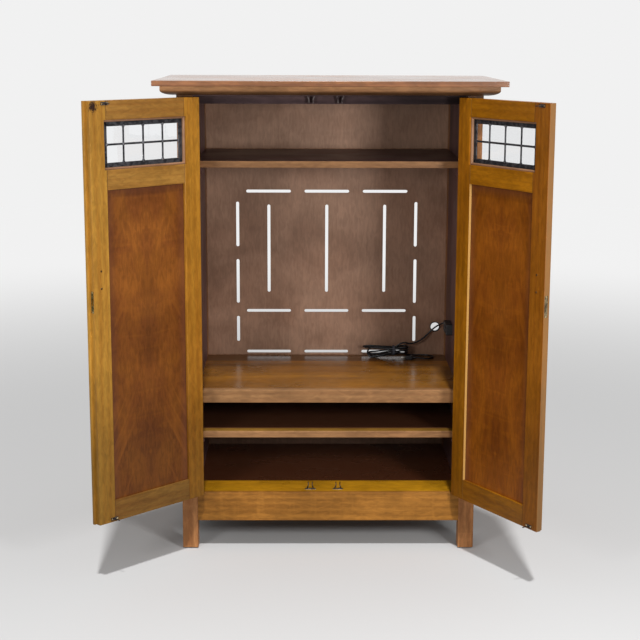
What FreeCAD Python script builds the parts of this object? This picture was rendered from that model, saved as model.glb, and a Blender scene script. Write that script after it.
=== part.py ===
"""Two-door TV armoire: a post-and-rail case with leaded-glass doors, shelves and a power box.

Millimetres, +Z up. The origin lies on the floor at the centre of the case's footprint,
and the front faces -Y. The doors are built closed and then swung to their rest angles.
"""
import FreeCAD, Part
import math
import os

V = FreeCAD.Vector

# ---- case -------------------------------------------------------------------
CASE_WIDTH = 1067.0          # over the posts
CASE_DEPTH = 660.0           # front of the front posts to the back of the rear posts
TOTAL_HEIGHT = 1702.0
POST = 56.0                  # square section of the corner posts
POST_ROUND = 2.0
GLIDE_HEIGHT = 4.0
GLIDE_RADIUS = 9.0
GLIDE_FOOT_RADIUS = 6.5      # where it stands on the floor
GLIDE_STEM_RADIUS = 3.0
GLIDE_STEM = 18.0
CUTTER_EXTRA = 1.0           # how far a cutter runs past the face that it opens

# ---- top and cornice ----------------------------------------------------------
SLAB_THICKNESS = 19.0
SLAB_OVERHANG = 78.0         # past the posts at the front and the sides
SLAB_ROUND = 2.5
CORNICE_PROJECTION = 52.0
CORNICE_FILLET = 14.0        # upright band under the top
CORNICE_CURVE = 18.0         # height of the curve below that band
HEAD_RAIL_DEPTH = 62.0
HEAD_RAIL_SHOWS = 3.0        # below the cornice
HEADER_HEIGHT = 30.0         # of the rail that hangs behind the head rail
HEADER_THICKNESS = 22.0
CEILING_THICKNESS = 12.0

# ---- rails and panels of the case ----------------------------------------------
APRON_BOTTOM = 107.0
APRON_TOP = 213.0            # level with the floor of the cabinet
APRON_THICKNESS = 22.0
APRON_SETBACK = 1.5          # behind the posts' front faces
TENON = 14.0                 # length of a rail's tenon
TENON_SHOULDER = 6.0         # from each face of a rail to its tenon
SIDE_SETBACK = 6.0           # from a post's outer face to a side rail's
SIDE_RAIL_THICKNESS = 22.0
SIDE_PANEL_THICKNESS = 8.0
SIDE_PANEL_SETBACK = 8.0     # from a side rail's outer face to the panel
GROOVE = 8.0                 # how far a panel sits in its frame
SIDE_TOP_RAIL = 110.0
LINER_THICKNESS = 12.0
LINER_BOTTOM = 150.0
BACK_THICKNESS = 8.0
BACK_FROM_REAR = 2.0         # from the back panel to the posts' rear faces
BACK_REBATE = 10.0           # how far the back panel sits in the posts
REAR_RAIL_THICKNESS = 22.0

# ---- floor, deck and shelves ----------------------------------------------------
FLOOR_THICKNESS = 22.0
DECK_TOP = 586.0
DECK_THICKNESS = 26.0
DECK_NOSING = 48.0           # height of the thick front edge
DECK_NOSING_DEPTH = 32.0
DECK_SETBACK = 58.0          # behind the posts' front faces
UPPER_BAY = 232.0            # from the top shelf to the underside of the head rail
TOP_SHELF_THICKNESS = 24.0
TOP_SHELF_SETBACK = 86.0
LOWER_SHELF_TOP = 431.0
LOWER_SHELF_THICKNESS = 25.0
SHELF_END_GAP = 1.0
SHELF_ROUND = 1.5
CLEAT_HEIGHT = 28.0
CLEAT_THICKNESS = 20.0
CLEAT_SETBACK = 45.0         # behind the front edge of its shelf
CLEAT_BACK_GAP = 40.0        # from a cleat's end to the back panel

# ---- ventilation slots and cable hole in the back panel --------------------------
SLOT_WIDTH = 12.0
SLOT_LENGTH = 177.0
SLOT_GAP = 54.0
SLOT_ROWS = (1249.0, 768.0, 600.5)
SLOT_COLUMN_X = 354.0
SLOT_COLUMN_SPANS = ((1028.0, 1207.0), (799.0, 977.0), (642.0, 746.0))
LONG_SLOT_SPACING = 230.0
LONG_SLOT_SPAN = (844.0, 1196.0)
CABLE_HOLE_FROM_SIDE = 39.5  # centre, from the right inner wall
CABLE_HOLE_OVER_DECK = 117.0
CABLE_HOLE_RADIUS = 17.0     # clear opening of the ring
RING_WALL = 1.5
RING_FLANGE_RADIUS = 21.0
RING_FLANGE = 2.0

# ---- doors -----------------------------------------------------------------------
DOOR_THICKNESS = 31.0
DOOR_TOP_GAP = 3.0
DOOR_FLOOR_GAP = 2.0
DOOR_SIDE_GAP = 2.0
MEETING_GAP = 1.5
MEETING_OFFSET = 4.0         # the inner joint lies this far left of centre, the outer one right
LIP_THICKNESS = 11.0         # front lip of the left door over the right one
STILE_INNER_X = 71.0         # opening's edge nearest the middle, from the centre line
HINGE_STILE_WIDTH = 69.5
TOP_RAIL_HEIGHT = 71.0
BOTTOM_RAIL_HEIGHT = 74.0
WINDOW_HEIGHT = 147.0        # sight size of the window
MIDDLE_RAIL_HEIGHT = 74.0
PANEL_THICKNESS = 8.0
PANEL_RECESS = 9.0           # behind the doors' inner faces
PANEL_GROOVE = 8.0
DOOR_TENON = 24.0
DOOR_TENON_THICKNESS = 11.0
REBATE = 8.0                 # glass rebate, round the sight size
REBATE_DEPTH = 20.0          # from the inner face
CAME_THICKNESS = 6.0
CAME_BORDER = 22.0
CAME_WIDTH = 7.0
LIGHTS_ACROSS = 4
LIGHTS_UP = 2
LIGHT_PITCH = 84.0   # from bar to bar; the outer panes are cut narrower
GLASS_THICKNESS = 3.0
STOP_THICKNESS = 8.0
STOP_WIDTH = 7.0
LEFT_REST_ANGLE = 134.5      # degrees open from closed
RIGHT_REST_ANGLE = 121.0

# ---- hinges ----------------------------------------------------------------------
HINGE_HEIGHT = 76.0
HINGE_FROM_END = 130.0       # from a door's end to the middle of the nearest hinge
KNUCKLES = 5
KNUCKLE_RADIUS = 4.5
KNUCKLE_GAP = 0.3
PIN_RADIUS = 2.5
PIN_CLEARANCE = 0.05
PIN_PROUD = 5.0              # axis in front of the posts' front faces
TIP_RADIUS = 4.0
LEAF_THICKNESS = 2.0
LEAF_WIDTH = 24.0
LEAF_PROUD = 0.4             # how far a leaf stands out of its wood

# ---- catches ---------------------------------------------------------------------
CATCH_CENTRE_X = -15.0
CATCH_SPREAD = 51.0          # each catch from the pair's centre
CATCH_SETBACK = 11.0         # behind the closed doors' inner faces
CATCH_DEPTH = 12.0
CATCH_BASE_WIDTH = 38.0
CATCH_BASE_THICKNESS = 1.5
CATCH_STRIP = 1.4            # thickness of a prong
# Inner face of a prong: distance from the catch's middle, height over its base.
PRONG_PROFILE = ((10.5, 0.0), (5.2, 10.0), (5.2, 15.0), (5.4, 25.0))
STRIKE_WIDTH = 30.0
STRIKE_HEIGHT = 11.0
STRIKE_THICKNESS = 1.5
STRIKE_FROM_SURFACE = 12.5   # middle of a strike from the surface that its catch is on
TONGUE_HALF_WIDTH = 2.4
TONGUE_HEIGHT = 3.0
TONGUE_LENGTH = 28.0
TONGUE_HEAD = 5.0

# ---- knobs and lock ----------------------------------------------------------------
KNOB_X = 37.0                # from the centre line
KNOB_Z = 1058.5
KNOB_SIZE = 28.0
KNOB_HEIGHT = 14.0           # of its square head with the pyramid
KNOB_STEM_RADIUS = 8.0
KNOB_STEM = 6.0
KNOB_PLATE_WIDTH = 42.0
KNOB_PLATE_HEIGHT = 92.0
BOLT_SPACING = 58.0           # the plate's two bolts, one above the other
KNOB_PLATE_THICKNESS = 2.0
BOLT_RADIUS = 2.5
BOLT_HEAD_RADIUS = 3.6
BOLT_HEAD = 1.2
LOCK_Z = 986.0
LOCK_PLATE_HEIGHT = 73.0
LOCK_PLATE_WIDTH = 13.0
LOCK_PLATE_THICKNESS = 2.0
LOCK_CASE_HEIGHT = 60.0
LOCK_CASE_DEPTH = 46.0
LOCK_CASE_THICKNESS = 11.0
LOCK_WALL = 1.5
DEADBOLT_HEIGHT = 22.0
DEADBOLT_THICKNESS = 6.0
DEADBOLT_LENGTH = 32.0
DEADBOLT_TRAVEL = 9.0
DEADBOLT_CLEARANCE = 0.5
KEY_X = 34.0
KEY_DROP = 22.0              # from the middle of the lock down to the keyhole
KEY_RADIUS = 3.0
ESCUTCHEON_WIDTH = 22.0
ESCUTCHEON_HEIGHT = 44.0
ESCUTCHEON_THICKNESS = 1.5

# ---- screws --------------------------------------------------------------------------
SCREW_HEAD_RADIUS = 3.2
SCREW_RADIUS = 1.6
SCREW_HEAD = 1.5             # depth of the countersunk head
LONG_SCREW = 16.0
SHORT_SCREW = 10.0
LEAF_SCREWS = ((9.0, -27.0), (17.0, 0.0), (9.0, 27.0))   # setback and height on a leaf
CATCH_SCREW_X = 16.3
STRIKE_SCREW_X = 11.0
LOCK_SCREW_Z = 33.0

# ---- power box and its lead ----------------------------------------------------------
BOX_WIDTH = 25.0             # out from the side wall
BOX_LENGTH = 100.0
BOX_HEIGHT = 42.0
BOX_SETBACK = 345.0          # behind the posts' front faces
BOX_OVER_DECK = 143.0
BOX_ROUND = 4.0
SOCKET_WIDTH = 34.0
SOCKET_HEIGHT = 26.0
SOCKET_DEPTH = 2.0
SOCKET_PITCH = 44.0
BLADE_SLOT = (2.2, 7.5, 9.0)
BLADE_SPACING = 12.7
LEAD_DIAMETER = 6.6
RELIEF_LENGTH = 30.0
RELIEF_RADIUS = 6.5
RELIEF_LIP = 0.6             # of a relief's thin end round the lead
BEND_SHARE = 0.45            # of a run that each of its bends takes up
# The lead's route to its hank: distance from the right inner wall, setback behind the
# posts' front faces, height over the deck.
FEED_ROUTE = (
    (12.0, 475.0, 163.0), (11.7, 512.0, 161.0), (11.5, 545.0, 155.5), (12.0, 574.0, 148.0),
    (16.0, 601.0, 139.0), (25.5, 623.0, 129.5), (41.5, 634.0, 117.0), (62.0, 635.0, 97.5),
    (78.5, 631.0, 80.5), (94.5, 627.0, 67.5), (111.5, 623.0, 58.0), (127.5, 619.5, 52.0),
    (143.5, 616.0, 47.0),
)
# From the hank round to the plug, on the deck.
TAIL_ROUTE = (
    (143.5, 629.0, 8.0), (122.5, 633.0, 4.4), (100.5, 634.4, 3.6), (70.6, 634.0, 3.6),
    (49.5, 612.9, 3.6), (49.5, 583.1, 3.6), (70.6, 562.0, 3.9), (97.5, 561.0, 6.0),
    (119.5, 561.0, 8.6),
)
HANK_FROM_SIDE = 143.5       # its right end, from the right inner wall
HANK_LENGTH = 189.0
HANK_FRONT = 585.0           # setback
HANK_DEPTH = 56.0
HANK_HEIGHT = 54.0
HANK_LIFT = 0.3
HANK_LEFT_ROUND = 24.0
HANK_RIGHT_ROUND = 3.0
TIE_FROM_END = 64.0          # from the hank's right end to the middle of the tie
TIE_WIDTH = 9.0
TIE_THICKNESS = 2.0
PLUG_LENGTH = 28.0
PLUG_WIDTH = 24.0
PLUG_HEIGHT = 17.0
PLUG_RELIEF = 16.0
PLUG_ROUND = 3.0
PRONG = (16.0, 1.5, 6.3)

# ---- worked out from the sizes above ----------------------------------------------------
FRONT = -CASE_DEPTH / 2
REAR = CASE_DEPTH / 2
HALF_WIDTH = CASE_WIDTH / 2
HALF_INSIDE = HALF_WIDTH - POST
SLAB_BOTTOM = TOTAL_HEIGHT - SLAB_THICKNESS
CORNICE_BOTTOM = SLAB_BOTTOM - CORNICE_FILLET - CORNICE_CURVE
HEAD_RAIL_BOTTOM = CORNICE_BOTTOM - HEAD_RAIL_SHOWS
HEADER_FRONT = FRONT + HEAD_RAIL_DEPTH
FLOOR_BOTTOM = APRON_TOP - FLOOR_THICKNESS
BACK_FACE = REAR - BACK_FROM_REAR - BACK_THICKNESS
TOP_SHELF_TOP = HEAD_RAIL_BOTTOM - UPPER_BAY
DOOR_TOP = HEAD_RAIL_BOTTOM - DOOR_TOP_GAP
DOOR_BOTTOM = APRON_TOP + DOOR_FLOOR_GAP
DOOR_INSIDE = FRONT + DOOR_THICKNESS
HINGE_EDGE = HALF_INSIDE - DOOR_SIDE_GAP
AXIS_X = HALF_INSIDE - DOOR_SIDE_GAP / 2
AXIS_Y = FRONT - PIN_PROUD
STILE_OUTER_X = HINGE_EDGE - HINGE_STILE_WIDTH   # opening's edge nearest the hinges
WINDOW_TOP = DOOR_TOP - TOP_RAIL_HEIGHT
WINDOW_BOTTOM = WINDOW_TOP - WINDOW_HEIGHT
PANEL_TOP = WINDOW_BOTTOM - MIDDLE_RAIL_HEIGHT
PANEL_BOTTOM = DOOR_BOTTOM + BOTTOM_RAIL_HEIGHT
GLASS_FRONT = DOOR_INSIDE - REBATE_DEPTH
CABLE_HOLE_X = HALF_INSIDE - CABLE_HOLE_FROM_SIDE
CABLE_HOLE_Z = DECK_TOP + CABLE_HOLE_OVER_DECK
BOX_BOTTOM = DECK_TOP + BOX_OVER_DECK
HANK_RIGHT = HALF_INSIDE - HANK_FROM_SIDE
HANK_LEFT = HANK_RIGHT - HANK_LENGTH
TIE_X = HANK_RIGHT - TIE_FROM_END


def box(x0, x1, y0, y1, z0, z1):
    """A block between two corners, given in any order."""
    low = V(min(x0, x1), min(y0, y1), min(z0, z1))
    return Part.makeBox(abs(x1 - x0), abs(y1 - y0), abs(z1 - z0), low)


def eased(shape, radius, wanted):
    """The shape with the straight edges that `wanted(middle, direction)` picks rounded."""
    edges = []
    for edge in shape.Edges:
        ends = [vertex.Point for vertex in edge.Vertexes]
        if len(ends) == 2 and wanted((ends[0] + ends[1]) * 0.5, (ends[1] - ends[0]).normalize()):
            edges.append(edge)
    return shape.makeFillet(radius, edges)


def prism(points, direction):
    """A closed outline of 3-D points pushed along a direction."""
    wire = Part.makePolygon([V(*point) for point in points + [points[0]]])
    return Part.Face(wire).extrude(V(*direction))


def screw(at, way, length):
    """A countersunk screw with its head flush at a point, running along a unit direction."""
    head = Part.makeCone(SCREW_HEAD_RADIUS, SCREW_RADIUS, SCREW_HEAD, at, way)
    shank = Part.makeCylinder(SCREW_RADIUS, length - SCREW_HEAD, at + way * SCREW_HEAD, way)
    return head.fuse(shank).removeSplitter()


def without(shape, cutters):
    """The shape less every cutter that comes near it."""
    for cutter in cutters:
        if cutter.BoundBox.intersect(shape.BoundBox):
            shape = shape.cut(cutter)
    return shape


def mirrored(shape):
    """The shape on the other side of the centre plane."""
    return shape.mirror(V(0, 0, 0), V(1, 0, 0))


def save(name, *shapes):
    """Write one node; several solids make one group."""
    solids = [solid for shape in shapes for solid in shape.Solids]
    shape = solids[0] if len(solids) == 1 else Part.makeCompound(solids)
    shape.exportStep("parts/%s.step" % name)


def swing(side, shape):
    """Turn a piece of a closed door about its hinge axis to the rest angle."""
    turned = shape.copy()
    axis_x = AXIS_X if side == "right" else -AXIS_X
    angle = RIGHT_REST_ANGLE if side == "right" else -LEFT_REST_ANGLE
    turned.rotate(V(axis_x, AXIS_Y, 0), V(0, 0, 1), angle)
    return turned


# ---- hinges ------------------------------------------------------------------------------
def hinge_levels():
    """Heights of the middles of a door's three hinges."""
    low = DOOR_BOTTOM + HINGE_FROM_END
    high = DOOR_TOP - HINGE_FROM_END
    return [low, (low + high) / 2, high]


def leaf_pocket(edge_x, outward, level):
    """The mortise that a leaf lies in: `outward` is +1 in a right post, -1 in the right door."""
    deep = edge_x + outward * (LEAF_THICKNESS - LEAF_PROUD)
    return box(edge_x, deep, FRONT, FRONT + LEAF_WIDTH,
               level - HINGE_HEIGHT / 2, level + HINGE_HEIGHT / 2)


def hinge_half(edge_x, outward, level, own, bore):
    """A leaf with its knuckles, for the right side. `own` is 0 or 1, the first knuckle it has."""
    bottom = level - HINGE_HEIGHT / 2
    pitch = HINGE_HEIGHT / KNUCKLES
    near = edge_x - outward * LEAF_PROUD
    far = edge_x + outward * (LEAF_THICKNESS - LEAF_PROUD)
    leaf = box(near, far, AXIS_Y, FRONT + LEAF_WIDTH, bottom, bottom + HINGE_HEIGHT)
    axis = V(AXIS_X, AXIS_Y, 0)
    for index in range(KNUCKLES):
        start = bottom + index * pitch + KNUCKLE_GAP / 2
        length = pitch - KNUCKLE_GAP
        if index % 2 == own:
            leaf = leaf.fuse(Part.makeCylinder(KNUCKLE_RADIUS, length, axis + V(0, 0, start)))
        else:
            room = Part.makeCylinder(KNUCKLE_RADIUS + KNUCKLE_GAP, pitch + KNUCKLE_GAP,
                                     axis + V(0, 0, start - KNUCKLE_GAP))
            leaf = leaf.cut(room)
    hole = Part.makeCylinder(bore, HINGE_HEIGHT + 2 * CUTTER_EXTRA,
                             axis + V(0, 0, bottom - CUTTER_EXTRA))
    return leaf.cut(hole).removeSplitter()


def hinge_pin(level):
    """A pin with a ball at each end, for the right side."""
    bottom = level - HINGE_HEIGHT / 2
    pin = Part.makeCylinder(PIN_RADIUS, HINGE_HEIGHT, V(AXIS_X, AXIS_Y, bottom))
    sink = math.sqrt(TIP_RADIUS ** 2 - PIN_RADIUS ** 2)
    for end, way in ((bottom, -1), (bottom + HINGE_HEIGHT, 1)):
        ball = Part.makeSphere(TIP_RADIUS, V(AXIS_X, AXIS_Y, end + way * (sink + KNUCKLE_GAP)))
        neck = Part.makeCylinder(PIN_RADIUS, KNUCKLE_GAP + 1, V(AXIS_X, AXIS_Y, min(end, end + way)))
        barrel_end = box(AXIS_X - TIP_RADIUS, AXIS_X + TIP_RADIUS, AXIS_Y - TIP_RADIUS,
                         AXIS_Y + TIP_RADIUS, end, end - way * HINGE_HEIGHT / 2)
        pin = pin.fuse(ball.cut(barrel_end)).fuse(neck.cut(barrel_end))
    return pin.removeSplitter()


def leaf_screws(edge_x, outward):
    """The screws of one edge's leaves, for the right side."""
    face = edge_x - outward * LEAF_PROUD
    return [screw(V(face, FRONT + setback, level + height), V(outward, 0, 0), LONG_SCREW)
            for level in hinge_levels() for setback, height in LEAF_SCREWS]


def case_hinges(screws):
    """Leaves and pins that stay on the posts."""
    leaves = []
    pins = []
    for level in hinge_levels():
        leaf = hinge_half(HALF_INSIDE, 1, level, 0, PIN_RADIUS)
        leaves += [without(leaf, screws), without(mirrored(leaf), screws)]
        pin = hinge_pin(level)
        pins += [pin, mirrored(pin)]
    save("case_hinge_leaves", *leaves)
    save("hinge_pins", *pins)


# ---- case -----------------------------------------------------------------------------------
def rail_with_tenons(x0, x1, y0, y1, z0, z1, along):
    """A rail between two shoulders with a tenon at each end, along 'x' or 'y'."""
    rail = box(x0, x1, y0, y1, z0, z1)
    low, high = z0 + TENON_SHOULDER, z1 - TENON_SHOULDER
    if along == "x":
        inner = (y0 + TENON_SHOULDER, y1 - TENON_SHOULDER, low, high)
        tenons = [box(x0 - TENON, x0, *inner), box(x1, x1 + TENON, *inner)]
    else:
        tenons = [box(x0 + TENON_SHOULDER, x1 - TENON_SHOULDER, y0 - TENON, y0, low, high),
                  box(x0 + TENON_SHOULDER, x1 - TENON_SHOULDER, y1, y1 + TENON, low, high)]
    return rail.fuse(tenons[0]).fuse(tenons[1]).removeSplitter()


def front_rails():
    """Head rail over the doors, the header behind it and the apron under the doors."""
    header = box(-HALF_INSIDE, HALF_INSIDE, HEADER_FRONT, HEADER_FRONT + HEADER_THICKNESS,
                 HEAD_RAIL_BOTTOM - HEADER_HEIGHT, HEAD_RAIL_BOTTOM)
    head = rail_with_tenons(-HALF_INSIDE, HALF_INSIDE, FRONT, FRONT + HEAD_RAIL_DEPTH,
                            HEAD_RAIL_BOTTOM, SLAB_BOTTOM, "x")
    face = FRONT + APRON_SETBACK
    apron = rail_with_tenons(-HALF_INSIDE, HALF_INSIDE, face, face + APRON_THICKNESS,
                             APRON_BOTTOM, APRON_TOP, "x")
    apron = eased(apron, SHELF_ROUND, lambda middle, way: abs(way.x) > 0.9 and abs(middle.x) < 1
                  and middle.y < face + APRON_SETBACK)
    return head, header, apron


def rear_rails():
    """Rails between the rear posts, under the floor and over the ceiling."""
    front = BACK_FACE - REAR_RAIL_THICKNESS
    low = rail_with_tenons(-HALF_INSIDE, HALF_INSIDE, front, BACK_FACE, APRON_BOTTOM,
                           FLOOR_BOTTOM, "x")
    high = rail_with_tenons(-HALF_INSIDE, HALF_INSIDE, front, BACK_FACE, HEAD_RAIL_BOTTOM,
                            SLAB_BOTTOM, "x")
    return low, high


def side_outer_face():
    """Outer face of the right side's rails."""
    return HALF_WIDTH - SIDE_SETBACK


def side_panel():
    """The right side's panel, in the grooves of its posts and rails."""
    face = side_outer_face() - SIDE_PANEL_SETBACK
    return box(face - SIDE_PANEL_THICKNESS, face, FRONT + POST - GROOVE, REAR - POST + GROOVE,
               APRON_TOP - GROOVE, SLAB_BOTTOM - SIDE_TOP_RAIL + GROOVE)


def side_rails():
    """Bottom and top rails of the right side."""
    outer = side_outer_face()
    inner = outer - SIDE_RAIL_THICKNESS
    rails = []
    for low, high in ((APRON_BOTTOM, APRON_TOP), (SLAB_BOTTOM - SIDE_TOP_RAIL, SLAB_BOTTOM)):
        rail = rail_with_tenons(inner, outer, FRONT + POST, REAR - POST, low, high, "y")
        rails.append(rail.cut(side_panel()))
    return rails


def back_panel():
    """Back with its ventilation slots and cable hole."""
    half = HALF_INSIDE + BACK_REBATE
    panel = box(-half, half, BACK_FACE, BACK_FACE + BACK_THICKNESS, APRON_BOTTOM, SLAB_BOTTOM)
    step = SLOT_LENGTH + SLOT_GAP
    for level in SLOT_ROWS:
        for index in (-1, 0, 1):
            middle = index * step
            panel = panel.cut(slot(middle - SLOT_LENGTH / 2, level, middle + SLOT_LENGTH / 2, level))
    for side in (-1, 1):
        for low, high in SLOT_COLUMN_SPANS:
            panel = panel.cut(slot(side * SLOT_COLUMN_X, low, side * SLOT_COLUMN_X, high))
    for index in (-1, 0, 1):
        x = index * LONG_SLOT_SPACING
        panel = panel.cut(slot(x, LONG_SLOT_SPAN[0], x, LONG_SLOT_SPAN[1]))
    hole = Part.makeCylinder(CABLE_HOLE_RADIUS + RING_WALL, BACK_THICKNESS + 2 * CUTTER_EXTRA,
                             V(CABLE_HOLE_X, BACK_FACE - CUTTER_EXTRA, CABLE_HOLE_Z), V(0, 1, 0))
    return panel.cut(hole)


def slot(x0, z0, x1, z1):
    """Cutter for a round-ended slot between two end points, which are its tips."""
    radius = SLOT_WIDTH / 2
    start = BACK_FACE - CUTTER_EXTRA
    depth = BACK_THICKNESS + 2 * CUTTER_EXTRA
    along_x = x1 > x0
    inset = (radius, 0) if along_x else (0, radius)
    tips = [(x0 + inset[0], z0 + inset[1]), (x1 - inset[0], z1 - inset[1])]
    cutter = box(tips[0][0] - inset[1], tips[1][0] + inset[1], start, start + depth,
                 tips[0][1] - inset[0], tips[1][1] + inset[0])
    for x, z in tips:
        cutter = cutter.fuse(Part.makeCylinder(radius, depth, V(x, start, z), V(0, 1, 0)))
    return cutter


def cable_ring():
    """Flanged ring that lines the cable hole."""
    centre = V(CABLE_HOLE_X, BACK_FACE, CABLE_HOLE_Z)
    way = V(0, 1, 0)
    flange = Part.makeCylinder(RING_FLANGE_RADIUS, RING_FLANGE, centre - way * RING_FLANGE, way)
    sleeve = Part.makeCylinder(CABLE_HOLE_RADIUS + RING_WALL, BACK_THICKNESS, centre, way)
    bore = Part.makeCylinder(CABLE_HOLE_RADIUS, BACK_THICKNESS + RING_FLANGE + 2 * CUTTER_EXTRA,
                             centre - way * (RING_FLANGE + CUTTER_EXTRA), way)
    return flange.fuse(sleeve).cut(bore).removeSplitter()


def posts(cutters):
    """The four posts, with everything that is let into them cut out."""
    result = {}
    for name, x, y in (("front_left", -1, -1), ("front_right", 1, -1),
                       ("rear_left", -1, 1), ("rear_right", 1, 1)):
        edge = x * HALF_WIDTH
        face = y * CASE_DEPTH / 2
        post = box(edge, edge - x * POST, face, face - y * POST, GLIDE_HEIGHT, SLAB_BOTTOM)
        post = eased(post, POST_ROUND, lambda middle, way: abs(way.z) > 0.9)
        result[name] = without(post, cutters)
    return result


def glides():
    """A tapered glide with a stem under each post."""
    result = []
    for x in (-1, 1):
        for y in (-1, 1):
            centre = V(x * (HALF_WIDTH - POST / 2), y * (CASE_DEPTH / 2 - POST / 2), 0)
            disc = Part.makeCone(GLIDE_FOOT_RADIUS, GLIDE_RADIUS, GLIDE_HEIGHT, centre)
            stem = Part.makeCylinder(GLIDE_STEM_RADIUS, GLIDE_STEM,
                                     centre + V(0, 0, GLIDE_HEIGHT))
            result.append(disc.fuse(stem).removeSplitter())
    return result


def cornice():
    """Three mitred lengths of moulding under the top."""
    reach = CORNICE_PROJECTION
    outer_x = HALF_WIDTH + reach
    outer_y = FRONT - reach
    middle = SLAB_BOTTOM - CORNICE_FILLET
    slope = math.sqrt(0.5)
    arch_point = V(0, FRONT - reach * slope, middle - CORNICE_CURVE * slope)
    half_arch = arch(V(0, outer_y, middle), arch_point, V(0, FRONT, CORNICE_BOTTOM))
    sides = [V(0, FRONT, CORNICE_BOTTOM), V(0, FRONT, SLAB_BOTTOM), V(0, outer_y, SLAB_BOTTOM),
             V(0, outer_y, middle)]
    edges = [half_arch] + [Part.makeLine(a, b) for a, b in zip(sides, sides[1:])]
    face = Part.Face(Part.Wire(Part.__sortEdges__(edges)))
    front_run = face.copy()
    front_run.translate(V(-outer_x, 0, 0))
    front_run = front_run.extrude(V(2 * outer_x, 0, 0))
    plan = prism([(-outer_x, outer_y, 0), (outer_x, outer_y, 0), (HALF_WIDTH, FRONT, 0),
                  (-HALF_WIDTH, FRONT, 0)], (0, 0, TOTAL_HEIGHT))
    pieces = [front_run.common(plan)]
    side_face = face.copy()
    side_face.rotate(V(0, FRONT, 0), V(0, 0, 1), 90)
    side_face.translate(V(HALF_WIDTH, -reach, 0))
    side_run = side_face.extrude(V(0, CASE_DEPTH + reach, 0))
    side_plan = prism([(HALF_WIDTH, FRONT, 0), (outer_x, outer_y, 0), (outer_x, REAR, 0),
                       (HALF_WIDTH, REAR, 0)], (0, 0, TOTAL_HEIGHT))
    right = side_run.common(side_plan)
    return pieces + [right, mirrored(right)]


def arch(start, through, end):
    """A quarter of an ellipse from the fillet's foot to the case."""
    centre = V(0, end.y, start.z)
    ellipse = Part.Ellipse(centre, abs(end.y - start.y), abs(start.z - end.z))
    curve = ellipse.toShape(math.pi, 1.5 * math.pi)
    curve.rotate(centre, V(1, 0, 0), 90)
    curve.rotate(centre, V(0, 0, 1), 90)
    ends = [vertex.Point for vertex in curve.Vertexes]
    if min(point.distanceToPoint(start) for point in ends) > 0.01:
        curve = curve.mirror(centre, V(0, 1, 0))
        ends = [vertex.Point for vertex in curve.Vertexes]
    if min(point.distanceToPoint(end) for point in ends) > 0.01:
        curve = curve.mirror(centre, V(0, 0, 1))
    middle = curve.valueAt((curve.FirstParameter + curve.LastParameter) / 2)
    if middle.distanceToPoint(through) > 0.01:
        raise ValueError("the cornice's curve runs through %s" % middle)
    return curve


def top_slab():
    """The overhanging top."""
    reach = HALF_WIDTH + SLAB_OVERHANG
    front = FRONT - SLAB_OVERHANG
    slab = box(-reach, reach, front, REAR, SLAB_BOTTOM, TOTAL_HEIGHT)
    return eased(slab, SLAB_ROUND, lambda middle, way: middle.y < REAR - 1)


def front_eased(board, face):
    """A board with its two long front edges rounded."""
    return eased(board, SHELF_ROUND,
                 lambda middle, way: abs(way.x) > 0.9 and middle.y < face + SHELF_ROUND)


def boards():
    """Ceiling, floor, deck and shelves."""
    inside = HALF_INSIDE
    ceiling = box(-inside, inside, HEADER_FRONT + HEADER_THICKNESS, BACK_FACE,
                  HEAD_RAIL_BOTTOM - CEILING_THICKNESS, HEAD_RAIL_BOTTOM)
    floor = box(-inside, inside, FRONT + APRON_SETBACK + APRON_THICKNESS, BACK_FACE,
                FLOOR_BOTTOM, APRON_TOP)
    deck = box(-inside, inside, FRONT + DECK_SETBACK + DECK_NOSING_DEPTH, BACK_FACE,
               DECK_TOP - DECK_THICKNESS, DECK_TOP)
    nosing = box(-inside, inside, FRONT + DECK_SETBACK, FRONT + DECK_SETBACK + DECK_NOSING_DEPTH,
                 DECK_TOP - DECK_NOSING, DECK_TOP)
    nosing = front_eased(nosing, FRONT + DECK_SETBACK)
    shelves = []
    for top, thickness, setback in ((TOP_SHELF_TOP, TOP_SHELF_THICKNESS, TOP_SHELF_SETBACK),
                                    (LOWER_SHELF_TOP, LOWER_SHELF_THICKNESS, DECK_SETBACK)):
        face = FRONT + setback
        shelf = box(-inside + SHELF_END_GAP, inside - SHELF_END_GAP, face,
                    BACK_FACE - SHELF_END_GAP, top - thickness, top)
        shelves.append(front_eased(shelf, face))
    return ceiling, floor, deck, nosing, shelves[0], shelves[1]


def cleats(underside, front):
    """A cleat on each side wall under a board."""
    cleat = box(HALF_INSIDE, HALF_INSIDE - CLEAT_THICKNESS, front + CLEAT_SETBACK,
                BACK_FACE - CLEAT_BACK_GAP, underside, underside - CLEAT_HEIGHT)
    return [cleat, mirrored(cleat)]


def liner():
    """The right inner wall, between the posts."""
    return box(HALF_INSIDE, HALF_INSIDE + LINER_THICKNESS, FRONT + POST, REAR - POST,
               LINER_BOTTOM, HEAD_RAIL_BOTTOM)


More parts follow.
